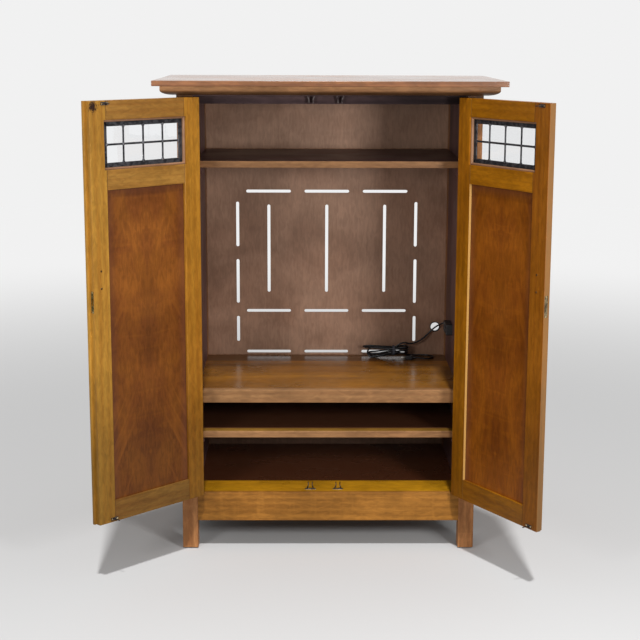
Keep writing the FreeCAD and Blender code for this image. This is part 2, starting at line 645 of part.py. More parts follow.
def build_case(screws):
    """Everything of the case except hinges, catches and power box."""
    head, header, apron = front_rails()
    low_rear, high_rear = rear_rails()
    right_rails = side_rails()
    left_rails = [mirrored(rail) for rail in right_rails]
    back = back_panel()
    feet = glides()
    pockets = []
    for level in hinge_levels():
        pocket = leaf_pocket(HALF_INSIDE, 1, level)
        pockets += [pocket, mirrored(pocket)]
    rebate = box(-HALF_INSIDE - BACK_REBATE, HALF_INSIDE + BACK_REBATE, BACK_FACE,
                 REAR + CUTTER_EXTRA, APRON_BOTTOM, SLAB_BOTTOM)
    panel = side_panel()
    cutters = [head, apron, low_rear, high_rear, rebate, panel, mirrored(panel)]
    cutters += right_rails + left_rails + feet + pockets + screws
    for name, post in posts(cutters).items():
        save(name + "_post", post)
    save("top_slab", top_slab())
    save("cornice_moulding", *cornice())
    save("head_rails", without(head, screws), header)
    save("front_apron", apron)
    save("rear_rails", low_rear, high_rear)
    save("right_side_rails", *right_rails)
    save("left_side_rails", *left_rails)
    save("right_side_panel", panel)
    save("left_side_panel", mirrored(panel))
    save("side_liners", liner(), mirrored(liner()))
    save("back_panel", back)
    save("cable_hole_ring", cable_ring())
    save("foot_glides", *feet)
    ceiling, floor, deck, nosing, top_shelf, lower_shelf = boards()
    save("ceiling_board", ceiling)
    save("floor_board", without(floor, screws))
    save("tv_deck", deck)
    save("deck_nosing", nosing)
    save("top_shelf", top_shelf)
    save("lower_shelf", lower_shelf)
    supports = cleats(DECK_TOP - DECK_THICKNESS, FRONT + DECK_SETBACK + DECK_NOSING_DEPTH)
    supports += cleats(TOP_SHELF_TOP - TOP_SHELF_THICKNESS, FRONT + TOP_SHELF_SETBACK)
    supports += cleats(LOWER_SHELF_TOP - LOWER_SHELF_THICKNESS, FRONT + DECK_SETBACK)
    save("shelf_cleats", *supports)


# ---- catches ------------------------------------------------------------------------------
def catch(x, surface, up, screws):
    """A base plate with two sprung prongs; `up` is +1 on the floor, -1 under the head rail."""
    y0 = DOOR_INSIDE + CATCH_SETBACK
    base_top = surface + up * CATCH_BASE_THICKNESS
    base = box(x - CATCH_BASE_WIDTH / 2, x + CATCH_BASE_WIDTH / 2, y0, y0 + CATCH_DEPTH, surface,
               base_top)
    pieces = [without(base, screws)]
    for way in (-1, 1):
        inner = [(x + way * off, y0, base_top + up * rise) for off, rise in PRONG_PROFILE]
        outer = [(px + way * CATCH_STRIP, py, pz) for px, py, pz in reversed(inner)]
        pieces.append(prism(inner + outer, (0, CATCH_DEPTH, 0)))
    return pieces


def strike(x, surface, up):
    """A plate on the door's inner face and the tongue that the catch grips."""
    z = surface + up * STRIKE_FROM_SURFACE
    plate = box(x - STRIKE_WIDTH / 2, x + STRIKE_WIDTH / 2, DOOR_INSIDE,
                DOOR_INSIDE + STRIKE_THICKNESS, z - STRIKE_HEIGHT / 2, z + STRIKE_HEIGHT / 2)
    tip = DOOR_INSIDE + TONGUE_LENGTH
    back = DOOR_INSIDE + STRIKE_THICKNESS
    low = z - TONGUE_HEIGHT / 2
    half = TONGUE_HALF_WIDTH
    neck = CATCH_SETBACK + CATCH_DEPTH - STRIKE_THICKNESS
    head = TONGUE_HEAD / 2
    outline = [(half / 2, back), (half / 2, back + neck), (half, tip - head), (half / 3, tip)]
    right = [(x + off, y, low) for off, y in outline]
    left = [(x - off, y, low) for off, y in reversed(outline)]
    tongue = prism(right + left, (0, 0, TONGUE_HEIGHT))
    return [plate, tongue]


def catch_places(side):
    """A door's two catches: middle, the surface each is on and the way up from it."""
    x = CATCH_CENTRE_X + (CATCH_SPREAD if side == "right" else -CATCH_SPREAD)
    return [(x, APRON_TOP, 1), (x, HEAD_RAIL_BOTTOM, -1)]


def catch_screws():
    """Two screws in the base of each catch."""
    screws = []
    middle = DOOR_INSIDE + CATCH_SETBACK + CATCH_DEPTH / 2
    for side in ("left", "right"):
        for x, surface, up in catch_places(side):
            z = surface + up * CATCH_BASE_THICKNESS
            for way in (-1, 1):
                screws.append(screw(V(x + way * CATCH_SCREW_X, middle, z), V(0, 0, -up),
                                    SHORT_SCREW))
    return screws


def build_catches(screws):
    """The four catches on the case."""
    pieces = []
    for side in ("left", "right"):
        for x, surface, up in catch_places(side):
            pieces += catch(x, surface, up, screws)
    save("door_catches", *pieces)


def strikes(side, screws):
    """The two strikes of a door."""
    return [without(piece, screws) for x, surface, up in catch_places(side)
            for piece in strike(x, surface, up)]


# ---- doors ---------------------------------------------------------------------------------
def opening_x(side):
    """Left and right edges of a door's opening."""
    if side == "right":
        return STILE_INNER_X, STILE_OUTER_X
    return -STILE_OUTER_X, -STILE_INNER_X


def meeting_stile(side):
    """The stile at the middle, with half of the lapped joint."""
    x0, x1 = opening_x(side)
    lap = FRONT + LIP_THICKNESS
    half_gap = MEETING_GAP / 2
    if side == "right":
        outer_edge = MEETING_OFFSET + half_gap
        inner_edge = -MEETING_OFFSET + half_gap
        edge = x0
    else:
        outer_edge = MEETING_OFFSET - half_gap
        inner_edge = -MEETING_OFFSET - half_gap
        edge = x1
    lip = half_gap if side == "left" else -half_gap
    front = box(edge, outer_edge, FRONT, lap - lip, DOOR_BOTTOM, DOOR_TOP)
    back = box(edge, inner_edge, lap - lip, DOOR_INSIDE, DOOR_BOTTOM, DOOR_TOP)
    return front.fuse(back).removeSplitter()


def door_rail(side, low, high):
    """A rail between the stiles with its two tenons."""
    x0, x1 = opening_x(side)
    rail = box(x0, x1, FRONT, DOOR_INSIDE, low, high)
    middle = (FRONT + DOOR_INSIDE) / 2
    half = DOOR_TENON_THICKNESS / 2
    for start, end in ((x0 - DOOR_TENON, x0), (x1, x1 + DOOR_TENON)):
        rail = rail.fuse(box(start, end, middle - half, middle + half, low + TENON_SHOULDER * 2,
                             high - TENON_SHOULDER * 2))
    return rail.removeSplitter()


def door_panel(side):
    """The flat panel in its grooves."""
    x0, x1 = opening_x(side)
    back = DOOR_INSIDE - PANEL_RECESS
    return box(x0 - PANEL_GROOVE, x1 + PANEL_GROOVE, back - PANEL_THICKNESS, back,
               PANEL_BOTTOM - PANEL_GROOVE, PANEL_TOP + PANEL_GROOVE)


def glass_rebate(side):
    """The step round the window that holds the leaded light."""
    x0, x1 = opening_x(side)
    return box(x0 - REBATE, x1 + REBATE, GLASS_FRONT, DOOR_INSIDE + CUTTER_EXTRA,
               WINDOW_BOTTOM - REBATE, WINDOW_TOP + REBATE)


def cells(low, high, count):
    """Edges of the panes between two edges of the border, with bars at an even pitch."""
    middle = (low + high) / 2
    bars = [middle + (index - count / 2) * LIGHT_PITCH for index in range(1, count)]
    starts = [low] + [bar + CAME_WIDTH / 2 for bar in bars]
    ends = [bar - CAME_WIDTH / 2 for bar in bars] + [high]
    return list(zip(starts, ends))


def light_cells(side):
    """Edges of the panes: lists of (x0, x1) and (z0, z1)."""
    x0, x1 = opening_x(side)
    inset = CAME_BORDER - REBATE
    return (cells(x0 + inset, x1 - inset, LIGHTS_ACROSS),
            cells(WINDOW_BOTTOM + inset, WINDOW_TOP - inset, LIGHTS_UP))


def leaded_light(side):
    """The lead lattice and the panes in its channels."""
    x0, x1 = opening_x(side)
    lattice = box(x0 - REBATE, x1 + REBATE, GLASS_FRONT, GLASS_FRONT + CAME_THICKNESS,
                  WINDOW_BOTTOM - REBATE, WINDOW_TOP + REBATE)
    middle = GLASS_FRONT + CAME_THICKNESS / 2
    channel = CAME_WIDTH / 3
    panes = []
    columns, rows = light_cells(side)
    for left, right in columns:
        for low, high in rows:
            lattice = lattice.cut(box(left, right, GLASS_FRONT - CUTTER_EXTRA,
                                      GLASS_FRONT + CAME_THICKNESS + CUTTER_EXTRA, low, high))
            panes.append(box(left - channel, right + channel, middle - GLASS_THICKNESS / 2,
                             middle + GLASS_THICKNESS / 2, low - channel, high + channel))
    for pane in panes:
        lattice = lattice.cut(pane)
    return lattice, panes


def glass_stops(side):
    """Four beads that hold the leaded light in its rebate."""
    x0, x1 = opening_x(side)
    left, right = x0 - REBATE, x1 + REBATE
    low, high = WINDOW_BOTTOM - REBATE, WINDOW_TOP + REBATE
    start = GLASS_FRONT + CAME_THICKNESS
    end = start + STOP_THICKNESS
    return [box(left, right, start, end, low, low + STOP_WIDTH),
            box(left, right, start, end, high - STOP_WIDTH, high),
            box(left, left + STOP_WIDTH, start, end, low + STOP_WIDTH, high - STOP_WIDTH),
            box(right - STOP_WIDTH, right, start, end, low + STOP_WIDTH, high - STOP_WIDTH)]


def knob(side):
    """A square knob on its tall plate, and the two bolts that hold it through the stile."""
    x = knob_x(side)
    plate = box(x - KNOB_PLATE_WIDTH / 2, x + KNOB_PLATE_WIDTH / 2, FRONT - KNOB_PLATE_THICKNESS,
                FRONT, KNOB_Z - KNOB_PLATE_HEIGHT / 2, KNOB_Z + KNOB_PLATE_HEIGHT / 2)
    stem_end = FRONT - KNOB_PLATE_THICKNESS - KNOB_STEM
    stem = Part.makeCylinder(KNOB_STEM_RADIUS, KNOB_STEM, V(x, stem_end, KNOB_Z), V(0, 1, 0))
    half = KNOB_SIZE / 2
    head = box(x - half, x + half, stem_end - KNOB_HEIGHT / 2, stem_end, KNOB_Z - half,
               KNOB_Z + half)
    tip = Part.makeLoft([square(x, stem_end - KNOB_HEIGHT / 2, half),
                         square(x, stem_end - KNOB_HEIGHT, half / 4)], True, True)
    bolts = []
    for z in bolt_levels():
        bolt = Part.makeCylinder(BOLT_RADIUS, DOOR_THICKNESS, V(x, FRONT, z), V(0, 1, 0))
        bolt_head = Part.makeCylinder(BOLT_HEAD_RADIUS, BOLT_HEAD, V(x, DOOR_INSIDE, z),
                                      V(0, 1, 0))
        bolts.append(bolt.fuse(bolt_head).removeSplitter())
    return plate.fuse(stem).fuse(head).fuse(tip).removeSplitter(), bolts


def knob_x(side):
    """Where a door's knob stands across the front, with the door closed."""
    return KNOB_X if side == "right" else -KNOB_X


def bolt_levels():
    """Heights of a knob plate's two bolts."""
    return KNOB_Z - BOLT_SPACING / 2, KNOB_Z + BOLT_SPACING / 2


def square(x, y, half):
    """A square outline about a knob's axis."""
    corners = [(x - half, y, KNOB_Z - half), (x + half, y, KNOB_Z - half),
               (x + half, y, KNOB_Z + half), (x - half, y, KNOB_Z + half)]
    return Part.makePolygon([V(*corner) for corner in corners + [corners[0]]])


def lock_middle():
    """Middle of the lock's thickness: the middle of the inner part of the edge."""
    return (FRONT + LIP_THICKNESS + DOOR_INSIDE) / 2


def lock_pieces():
    """Case with its face plate, and the deadbolt, in the right door."""
    edge = -MEETING_OFFSET + MEETING_GAP / 2
    middle = lock_middle()
    half_plate = LOCK_PLATE_WIDTH / 2
    plate = box(edge, edge + LOCK_PLATE_THICKNESS, middle - half_plate, middle + half_plate,
                LOCK_Z - LOCK_PLATE_HEIGHT / 2, LOCK_Z + LOCK_PLATE_HEIGHT / 2)
    start = edge + LOCK_PLATE_THICKNESS
    half = LOCK_CASE_THICKNESS / 2
    case = box(start, start + LOCK_CASE_DEPTH, middle - half, middle + half,
               LOCK_Z - LOCK_CASE_HEIGHT / 2, LOCK_Z + LOCK_CASE_HEIGHT / 2)
    envelope = plate.fuse(case)
    hollow = box(start, start + LOCK_CASE_DEPTH - LOCK_WALL, middle - half + LOCK_WALL,
                 middle + half - LOCK_WALL, LOCK_Z - LOCK_CASE_HEIGHT / 2 + LOCK_WALL,
                 LOCK_Z + LOCK_CASE_HEIGHT / 2 - LOCK_WALL)
    bolt_half = DEADBOLT_THICKNESS / 2
    bolt_low = LOCK_Z - DEADBOLT_HEIGHT / 2
    bolt = box(edge, edge + DEADBOLT_LENGTH, middle - bolt_half, middle + bolt_half, bolt_low,
               bolt_low + DEADBOLT_HEIGHT)
    gap = DEADBOLT_CLEARANCE
    mouth = box(edge - CUTTER_EXTRA, start + CUTTER_EXTRA, middle - bolt_half - gap,
                middle + bolt_half + gap, bolt_low - gap, bolt_low + DEADBOLT_HEIGHT + gap)
    key_hole = Part.makeCylinder(KEY_RADIUS, LOCK_CASE_THICKNESS + 2 * CUTTER_EXTRA,
                                 V(KEY_X, middle - half - CUTTER_EXTRA, LOCK_Z - KEY_DROP),
                                 V(0, 1, 0))
    lock_case = plate.fuse(case.cut(hollow)).cut(mouth).cut(key_hole).removeSplitter()
    return envelope, lock_case, bolt


def keeper():
    """Plate on the left door's edge that receives the deadbolt, and the pocket behind it."""
    edge = -MEETING_OFFSET - MEETING_GAP / 2
    middle = lock_middle()
    half_plate = LOCK_PLATE_WIDTH / 2
    plate = box(edge - LOCK_PLATE_THICKNESS, edge, middle - half_plate, middle + half_plate,
                LOCK_Z - LOCK_PLATE_HEIGHT / 2, LOCK_Z + LOCK_PLATE_HEIGHT / 2)
    gap = DEADBOLT_CLEARANCE * 2
    half = DEADBOLT_THICKNESS / 2
    pocket = box(edge + CUTTER_EXTRA, edge - DEADBOLT_TRAVEL - gap, middle - half - gap,
                 middle + half + gap, LOCK_Z - DEADBOLT_HEIGHT / 2 - gap,
                 LOCK_Z + DEADBOLT_HEIGHT / 2 + gap)
    return plate, pocket


def escutcheon():
    """Keyhole plate on the right door's outer face, and the keyway through the stile."""
    z = LOCK_Z - KEY_DROP
    plate = box(KEY_X - ESCUTCHEON_WIDTH / 2, KEY_X + ESCUTCHEON_WIDTH / 2,
                FRONT - ESCUTCHEON_THICKNESS, FRONT, z - ESCUTCHEON_HEIGHT / 2,
                z + ESCUTCHEON_HEIGHT / 2)
    keyway = Part.makeCylinder(KEY_RADIUS, DOOR_THICKNESS / 2 + ESCUTCHEON_THICKNESS,
                               V(KEY_X, FRONT - ESCUTCHEON_THICKNESS, z), V(0, 1, 0))
    return plate.cut(keyway), keyway


def door_screws(side):
    """Every screw in a door, with the door closed."""
    screws = leaf_screws(HINGE_EDGE, -1)
    if side == "left":
        screws = [mirrored(piece) for piece in screws]
    for x, surface, up in catch_places(side):
        z = surface + up * STRIKE_FROM_SURFACE
        for way in (-1, 1):
            screws.append(screw(V(x + way * STRIKE_SCREW_X, DOOR_INSIDE + STRIKE_THICKNESS, z),
                                V(0, -1, 0), SHORT_SCREW))
    way = 1 if side == "right" else -1
    edge = -MEETING_OFFSET + way * MEETING_GAP / 2
    for height in (-LOCK_SCREW_Z, LOCK_SCREW_Z):
        screws.append(screw(V(edge, lock_middle(), LOCK_Z + height), V(way, 0, 0), SHORT_SCREW))
    return screws


def build_door(side):
    """One door, in its own pieces, at its rest angle."""
    screws = door_screws(side)
    x0, x1 = opening_x(side)
    top = door_rail(side, WINDOW_TOP, DOOR_TOP)
    middle = door_rail(side, PANEL_TOP, WINDOW_BOTTOM)
    bottom = door_rail(side, DOOR_BOTTOM, PANEL_BOTTOM)
    panel = door_panel(side)
    rebate = glass_rebate(side)
    lattice, panes = leaded_light(side)
    knob_body, knob_bolts = knob(side)
    if side == "right":
        hinge_stile = box(x1, HINGE_EDGE, FRONT, DOOR_INSIDE, DOOR_BOTTOM, DOOR_TOP)
    else:
        hinge_stile = box(-HINGE_EDGE, x0, FRONT, DOOR_INSIDE, DOOR_BOTTOM, DOOR_TOP)
    pockets = []
    leaves = []
    for level in hinge_levels():
        pocket = leaf_pocket(HINGE_EDGE, -1, level)
        leaf = hinge_half(HINGE_EDGE, -1, level, 1, PIN_RADIUS + PIN_CLEARANCE)
        pockets.append(pocket if side == "right" else mirrored(pocket))
        leaves.append(without(leaf if side == "right" else mirrored(leaf), screws))
    let_in = [top, middle, bottom, panel, rebate] + screws
    hinge_stile = without(hinge_stile, let_in + pockets)
    bolt_holes = [Part.makeCylinder(BOLT_RADIUS, DOOR_THICKNESS + 2 * CUTTER_EXTRA,
                                    V(knob_x(side), FRONT - CUTTER_EXTRA, z), V(0, 1, 0))
                  for z in bolt_levels()]
    stile = without(meeting_stile(side), let_in + bolt_holes)
    if side == "right":
        envelope, lock_case, deadbolt = lock_pieces()
        plate, keyway = escutcheon()
        stile = stile.cut(envelope).cut(keyway)
        save("right_door_lock", swing(side, without(lock_case, screws)))
        save("right_door_deadbolt", swing(side, deadbolt))
        save("right_door_escutcheon", swing(side, plate))
    else:
        plate, pocket = keeper()
        stile = stile.cut(plate).cut(pocket)
        save("left_door_lock_keeper", swing(side, without(plate.cut(pocket), screws)))
    rails = [without(rail, [panel, rebate] + screws) for rail in (top, middle, bottom)]
    door = side + "_door_"
    save(door + "hinge_stile", swing(side, hinge_stile))
    save(door + "meeting_stile", swing(side, stile))
    save(door + "rails", *[swing(side, rail) for rail in rails])
    save(door + "panel", swing(side, panel))
    save(door + "lead_lattice", swing(side, lattice))
    save(door + "glass_panes", *[swing(side, pane) for pane in panes])
    save(door + "glass_stops", *[swing(side, bead) for bead in glass_stops(side)])
    save(door + "hinge_leaves", *[swing(side, leaf) for leaf in leaves])
    save(door + "knob", swing(side, knob_body), *[swing(side, bolt) for bolt in knob_bolts])
    save(door + "catch_strikes", *[swing(side, piece) for piece in strikes(side, screws)])
    save(door + "screws", *[swing(side, piece) for piece in screws])


# ---- power box and lead ------------------------------------------------------------------------
def power_box():
    """Box on the right wall with two sockets on its inner face."""
    wall = HALF_INSIDE
    front = FRONT + BOX_SETBACK
    body = box(wall - BOX_WIDTH, wall, front, front + BOX_LENGTH, BOX_BOTTOM,
               BOX_BOTTOM + BOX_HEIGHT)
    body = eased(body, BOX_ROUND, lambda middle, way: middle.x < wall - 1)
    face = wall - BOX_WIDTH
    z = BOX_BOTTOM + BOX_HEIGHT / 2
    slot_wide, slot_tall, slot_deep = BLADE_SLOT
    for way in (-1, 1):
        middle_y = front + BOX_LENGTH / 2 + way * SOCKET_PITCH / 2
        recess = box(face - CUTTER_EXTRA, face + SOCKET_DEPTH, middle_y - SOCKET_WIDTH / 2,
                     middle_y + SOCKET_WIDTH / 2, z - SOCKET_HEIGHT / 2, z + SOCKET_HEIGHT / 2)
        body = body.cut(recess)
        for side in (-1, 1):
            y = middle_y + side * BLADE_SPACING / 2
            body = body.cut(box(face, face + SOCKET_DEPTH + slot_deep, y - slot_wide / 2,
                                y + slot_wide / 2, z - slot_tall / 2, z + slot_tall / 2))
    return body


def lead_point(place):
    """A point of the lead's route in the part's own axes."""
    from_wall, setback, over_deck = place
    return V(HALF_INSIDE - from_wall, FRONT + setback, DECK_TOP + over_deck)


def strain_relief():
    """Tapered sleeve where the lead leaves the box."""
    start = lead_point(FEED_ROUTE[0]) - V(0, RELIEF_LENGTH, 0)
    return Part.makeCone(RELIEF_RADIUS, LEAD_DIAMETER / 2 + RELIEF_LIP, RELIEF_LENGTH, start,
                         V(0, 1, 0))


def tube(route, name):
    """A cord along straight runs joined by tangent arcs, as large as the runs allow."""
    points = [lead_point(place) for place in route]
    edges = []
    at = points[0]
    radii = []
    for before, corner, after in zip(points, points[1:], points[2:]):
        to_corner = corner - before
        from_corner = after - corner
        turn = to_corner.getAngle(from_corner)
        radius = BEND_SHARE * min(to_corner.Length, from_corner.Length) / math.tan(turn / 2)
        cut = radius * math.tan(turn / 2)
        start = corner - to_corner.normalize() * cut
        end = corner + from_corner.normalize() * cut
        centre_way = (from_corner - to_corner).normalize()
        centre = corner + centre_way * (radius / math.cos(turn / 2))
        middle = centre - centre_way * radius
        edges.append(Part.LineSegment(at, start).toShape())
        edges.append(Part.Arc(start, middle, end).toShape())
        radii.append(radius)
        at = end
    edges.append(Part.LineSegment(at, points[-1]).toShape())
    path = Part.Wire(edges)
    way = (points[1] - points[0]).normalize()
    ring = Part.Wire(Part.Circle(points[0], way, LEAD_DIAMETER / 2).toShape())
    solid = path.makePipeShell([ring], True, False)
    expected = math.pi * LEAD_DIAMETER ** 2 / 4 * path.Length
    print("%s: length %.1f, radii %s, volume %.0f of %.0f" % (
        name, path.Length, [round(radius) for radius in radii], solid.Volume, expected))
    return solid


def hank():
    """Outer shape of the folded lead, with the groove that its tie sits in."""
    low = DECK_TOP + HANK_LIFT
    front = FRONT + HANK_FRONT
    block = box(HANK_LEFT, HANK_RIGHT, front, front + HANK_DEPTH, low, low + HANK_HEIGHT)
    block = eased(block, HANK_LEFT_ROUND, lambda middle, way: abs(way.y) > 0.9
                  and middle.x < HANK_LEFT + 1)
    block = eased(block, HANK_RIGHT_ROUND, lambda middle, way: abs(way.y) > 0.9
                  and middle.x > HANK_RIGHT - 1)
    groove = box(TIE_X - TIE_WIDTH / 2, TIE_X + TIE_WIDTH / 2, front - CUTTER_EXTRA,
                 front + HANK_DEPTH + CUTTER_EXTRA, low - CUTTER_EXTRA,
                 low + HANK_HEIGHT + CUTTER_EXTRA)
    core = box(TIE_X - TIE_WIDTH, TIE_X + TIE_WIDTH, front + TIE_THICKNESS,
               front + HANK_DEPTH - TIE_THICKNESS, low + TIE_THICKNESS,
               low + HANK_HEIGHT - TIE_THICKNESS)
    band = block.common(groove)
    return block.cut(groove.cut(core)), band.cut(core)


def plug():
    """Two-pin plug that lies in front of the hank's end, pointing left."""
    end = lead_point(TAIL_ROUTE[-1])
    x, y, z = end
    relief = Part.makeCone(LEAD_DIAMETER / 2 + RELIEF_LIP, RELIEF_RADIUS, PLUG_RELIEF, end,
                           V(-1, 0, 0))
    body_end = x - PLUG_RELIEF
    body = box(body_end - PLUG_LENGTH, body_end, y - PLUG_WIDTH / 2, y + PLUG_WIDTH / 2,
               z - PLUG_HEIGHT / 2, z + PLUG_HEIGHT / 2)
    body = eased(body, PLUG_ROUND, lambda middle, way: abs(way.x) > 0.9)
    whole = relief.fuse(body)
    length, thick, tall = PRONG
    for way in (-1, 1):
        prong_y = y + way * BLADE_SPACING / 2
        whole = whole.fuse(box(body_end - PLUG_LENGTH - length, body_end - PLUG_LENGTH,
                               prong_y - thick / 2, prong_y + thick / 2, z - tall / 2,
                               z + tall / 2))
    return whole.removeSplitter()


def build_power():
    """Power box, its lead, hank, tie and plug."""
    save("power_box", power_box())
    save("power_box_strain_relief", strain_relief())
    save("power_lead", tube(FEED_ROUTE, "feed"), tube(TAIL_ROUTE, "tail"))
    folded, band = hank()
    save("power_lead_hank", folded)
    save("power_lead_tie", band)
    save("power_lead_plug", plug())


os.makedirs("parts", exist_ok=True)
right_leaf_screws = leaf_screws(HALF_INSIDE, 1)
case_screws = right_leaf_screws + [mirrored(piece) for piece in right_leaf_screws]
case_screws += catch_screws()
save("case_screws", *case_screws)
build_case(case_screws)
case_hinges(case_screws)
build_catches(case_screws)
build_door("left")
build_door("right")
build_power()
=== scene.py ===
"""Dresses the two-door TV armoire: wood and metal finishes, leaded lights, hardware, power lead,
and the studio that it stands in. Everything is in metres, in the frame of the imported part.
"""
import logging
import math
from dataclasses import dataclass
from enum import Enum
from typing import Iterable, Sequence

import bmesh
import bpy
from mathutils import Matrix, Vector


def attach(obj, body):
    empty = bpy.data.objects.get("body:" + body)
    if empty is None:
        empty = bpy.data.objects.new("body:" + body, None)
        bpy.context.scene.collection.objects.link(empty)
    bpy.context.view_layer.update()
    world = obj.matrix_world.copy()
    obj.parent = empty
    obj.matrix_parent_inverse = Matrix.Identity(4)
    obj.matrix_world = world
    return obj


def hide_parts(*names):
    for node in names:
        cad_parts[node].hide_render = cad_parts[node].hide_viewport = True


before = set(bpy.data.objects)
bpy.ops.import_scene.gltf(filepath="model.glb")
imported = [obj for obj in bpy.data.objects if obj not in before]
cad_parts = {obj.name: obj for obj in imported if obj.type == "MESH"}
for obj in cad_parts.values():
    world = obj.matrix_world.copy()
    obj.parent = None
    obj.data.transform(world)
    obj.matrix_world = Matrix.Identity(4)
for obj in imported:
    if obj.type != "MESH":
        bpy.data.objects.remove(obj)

log = logging.getLogger("armoire")
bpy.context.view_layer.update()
MM = 0.001

Colour = tuple[float, float, float, float]
Material = bpy.types.Material
Mesh = bmesh.types.BMesh
Socket = bpy.types.NodeSocket
Triple = tuple[float, float, float]

# Sizes shared with the part, in millimetres.
FRONT = -330.0
BACK_FACE = 320.0
HALF_WIDTH = 533.5
HALF_INSIDE = 477.5
HINGE_EDGE = 475.5
AXIS_X = 476.5
AXIS_Y = -335.0
DOOR_INSIDE = -299.0
FLOOR_TOP = 213.0
DECK_TOP = 586.0
HEAD_RAIL_BOTTOM = 1648.0
HINGE_LEVELS = (345.0, 930.0, 1515.0)
LOCK_Z = 986.0
LOCK_Y = -309.0


def srgb(red: float, green: float, blue: float) -> Colour:
    """A colour given in 0 to 255 display values, as linear light.

    Args:
        red, green, blue: display values.

    Returns:
        Linear red, green, blue and an alpha of 1.
    """
    def linear(value: float) -> float:
        """One channel."""
        share = value / 255.0
        return share / 12.92 if share <= 0.04045 else ((share + 0.055) / 1.055) ** 2.4
    return linear(red), linear(green), linear(blue), 1.0


class Setting(Enum):
    """A body's name, its hinge axis and how far it is turned from closed at rest."""

    CASE = ("case", 0.0, 0.0, 0.0)
    LEFT = ("left_door", -AXIS_X, AXIS_Y, -134.5)
    RIGHT = ("right_door", AXIS_X, AXIS_Y, 121.0)

    @property
    def body(self) -> str:
        """The body that the pieces ride on."""
        return self.value[0]

    @property
    def axis(self) -> Vector:
        """A point of the hinge axis, in metres."""
        return Vector((self.value[1], self.value[2], 0.0)) * MM

    @property
    def angle(self) -> float:
        """The turn from closed, in radians."""
        return math.radians(self.value[3])

    @property
    def side(self) -> int:
        """-1 on the left, +1 on the right."""
        return -1 if self is Setting.LEFT else 1

    def swing(self) -> Matrix:
        """The transform from the closed place to the place at rest."""
        axis = self.axis
        return Matrix.Translation(axis) @ Matrix.Rotation(self.angle, 4, "Z") @ Matrix.Translation(-axis)


class Grain(Enum):
    """The axis that a board's grain runs along, with its doors closed."""

    X = 0
    Y = 1
    Z = 2


class Slot(Enum):
    """The record's material slots, passed with new pieces but not set on them."""

    CASE_WOOD = "case_wood"
    DARK_VENEER = "dark_veneer"
    DOOR_WOOD = "door_wood"
    LEAD = "lead_came"
    BRONZE = "aged_bronze"
    SCREWS = "brass_screws"
    STEEL = "dark_steel"
    PLASTIC = "black_plastic"
    RUBBER = "black_rubber"


# ---- shader building --------------------------------------------------------------------
class Nodes:
    """The node tree of a material or a world, under construction."""

    def __init__(self, owner: Material | bpy.types.World, output: str) -> None:
        """Start an empty tree.

        Args:
            owner: the material or world.
            output: the type of the tree's last node.
        """
        owner.use_nodes = True
        self.owner = owner
        self.tree = owner.node_tree
        self.tree.nodes.clear()
        self.output = self.add(output)

    def add(self, kind: str, inputs: dict | None = None, **settings) -> bpy.types.Node:
        """Add a node.

        Args:
            kind: the node's type.
            inputs: sockets to link or values to set, by input name or number.
            settings: the node's own properties.

        Returns:
            The node.
        """
        node = self.tree.nodes.new(kind)
        for name, value in settings.items():
            setattr(node, name, value)
        for key, value in (inputs or {}).items():
            if isinstance(value, bpy.types.NodeSocket):
                self.tree.links.new(value, node.inputs[key])
            else:
                node.inputs[key].default_value = value
        return node

    def calc(self, operation: str, first: Socket | float, second: Socket | float = 0.0) -> Socket:
        """A sum, product or other operation on two numbers."""
        return self.add("ShaderNodeMath", {0: first, 1: second}, operation=operation).outputs[0]

    def seen(self) -> Socket:
        """1 for what is seen, also mirrored or through glass, and 0 for light that bounces."""
        rays = self.add("ShaderNodeLightPath").outputs
        direct = self.calc("MAXIMUM", rays["Is Camera Ray"], rays["Is Glossy Ray"])
        return self.calc("MAXIMUM", direct, rays["Is Transmission Ray"])

    def close(self, last: Socket) -> Material | bpy.types.World:
        """Link the last shader to the output, and hand over the tree's owner."""
        self.tree.links.new(last, self.output.inputs[0])
        return self.owner


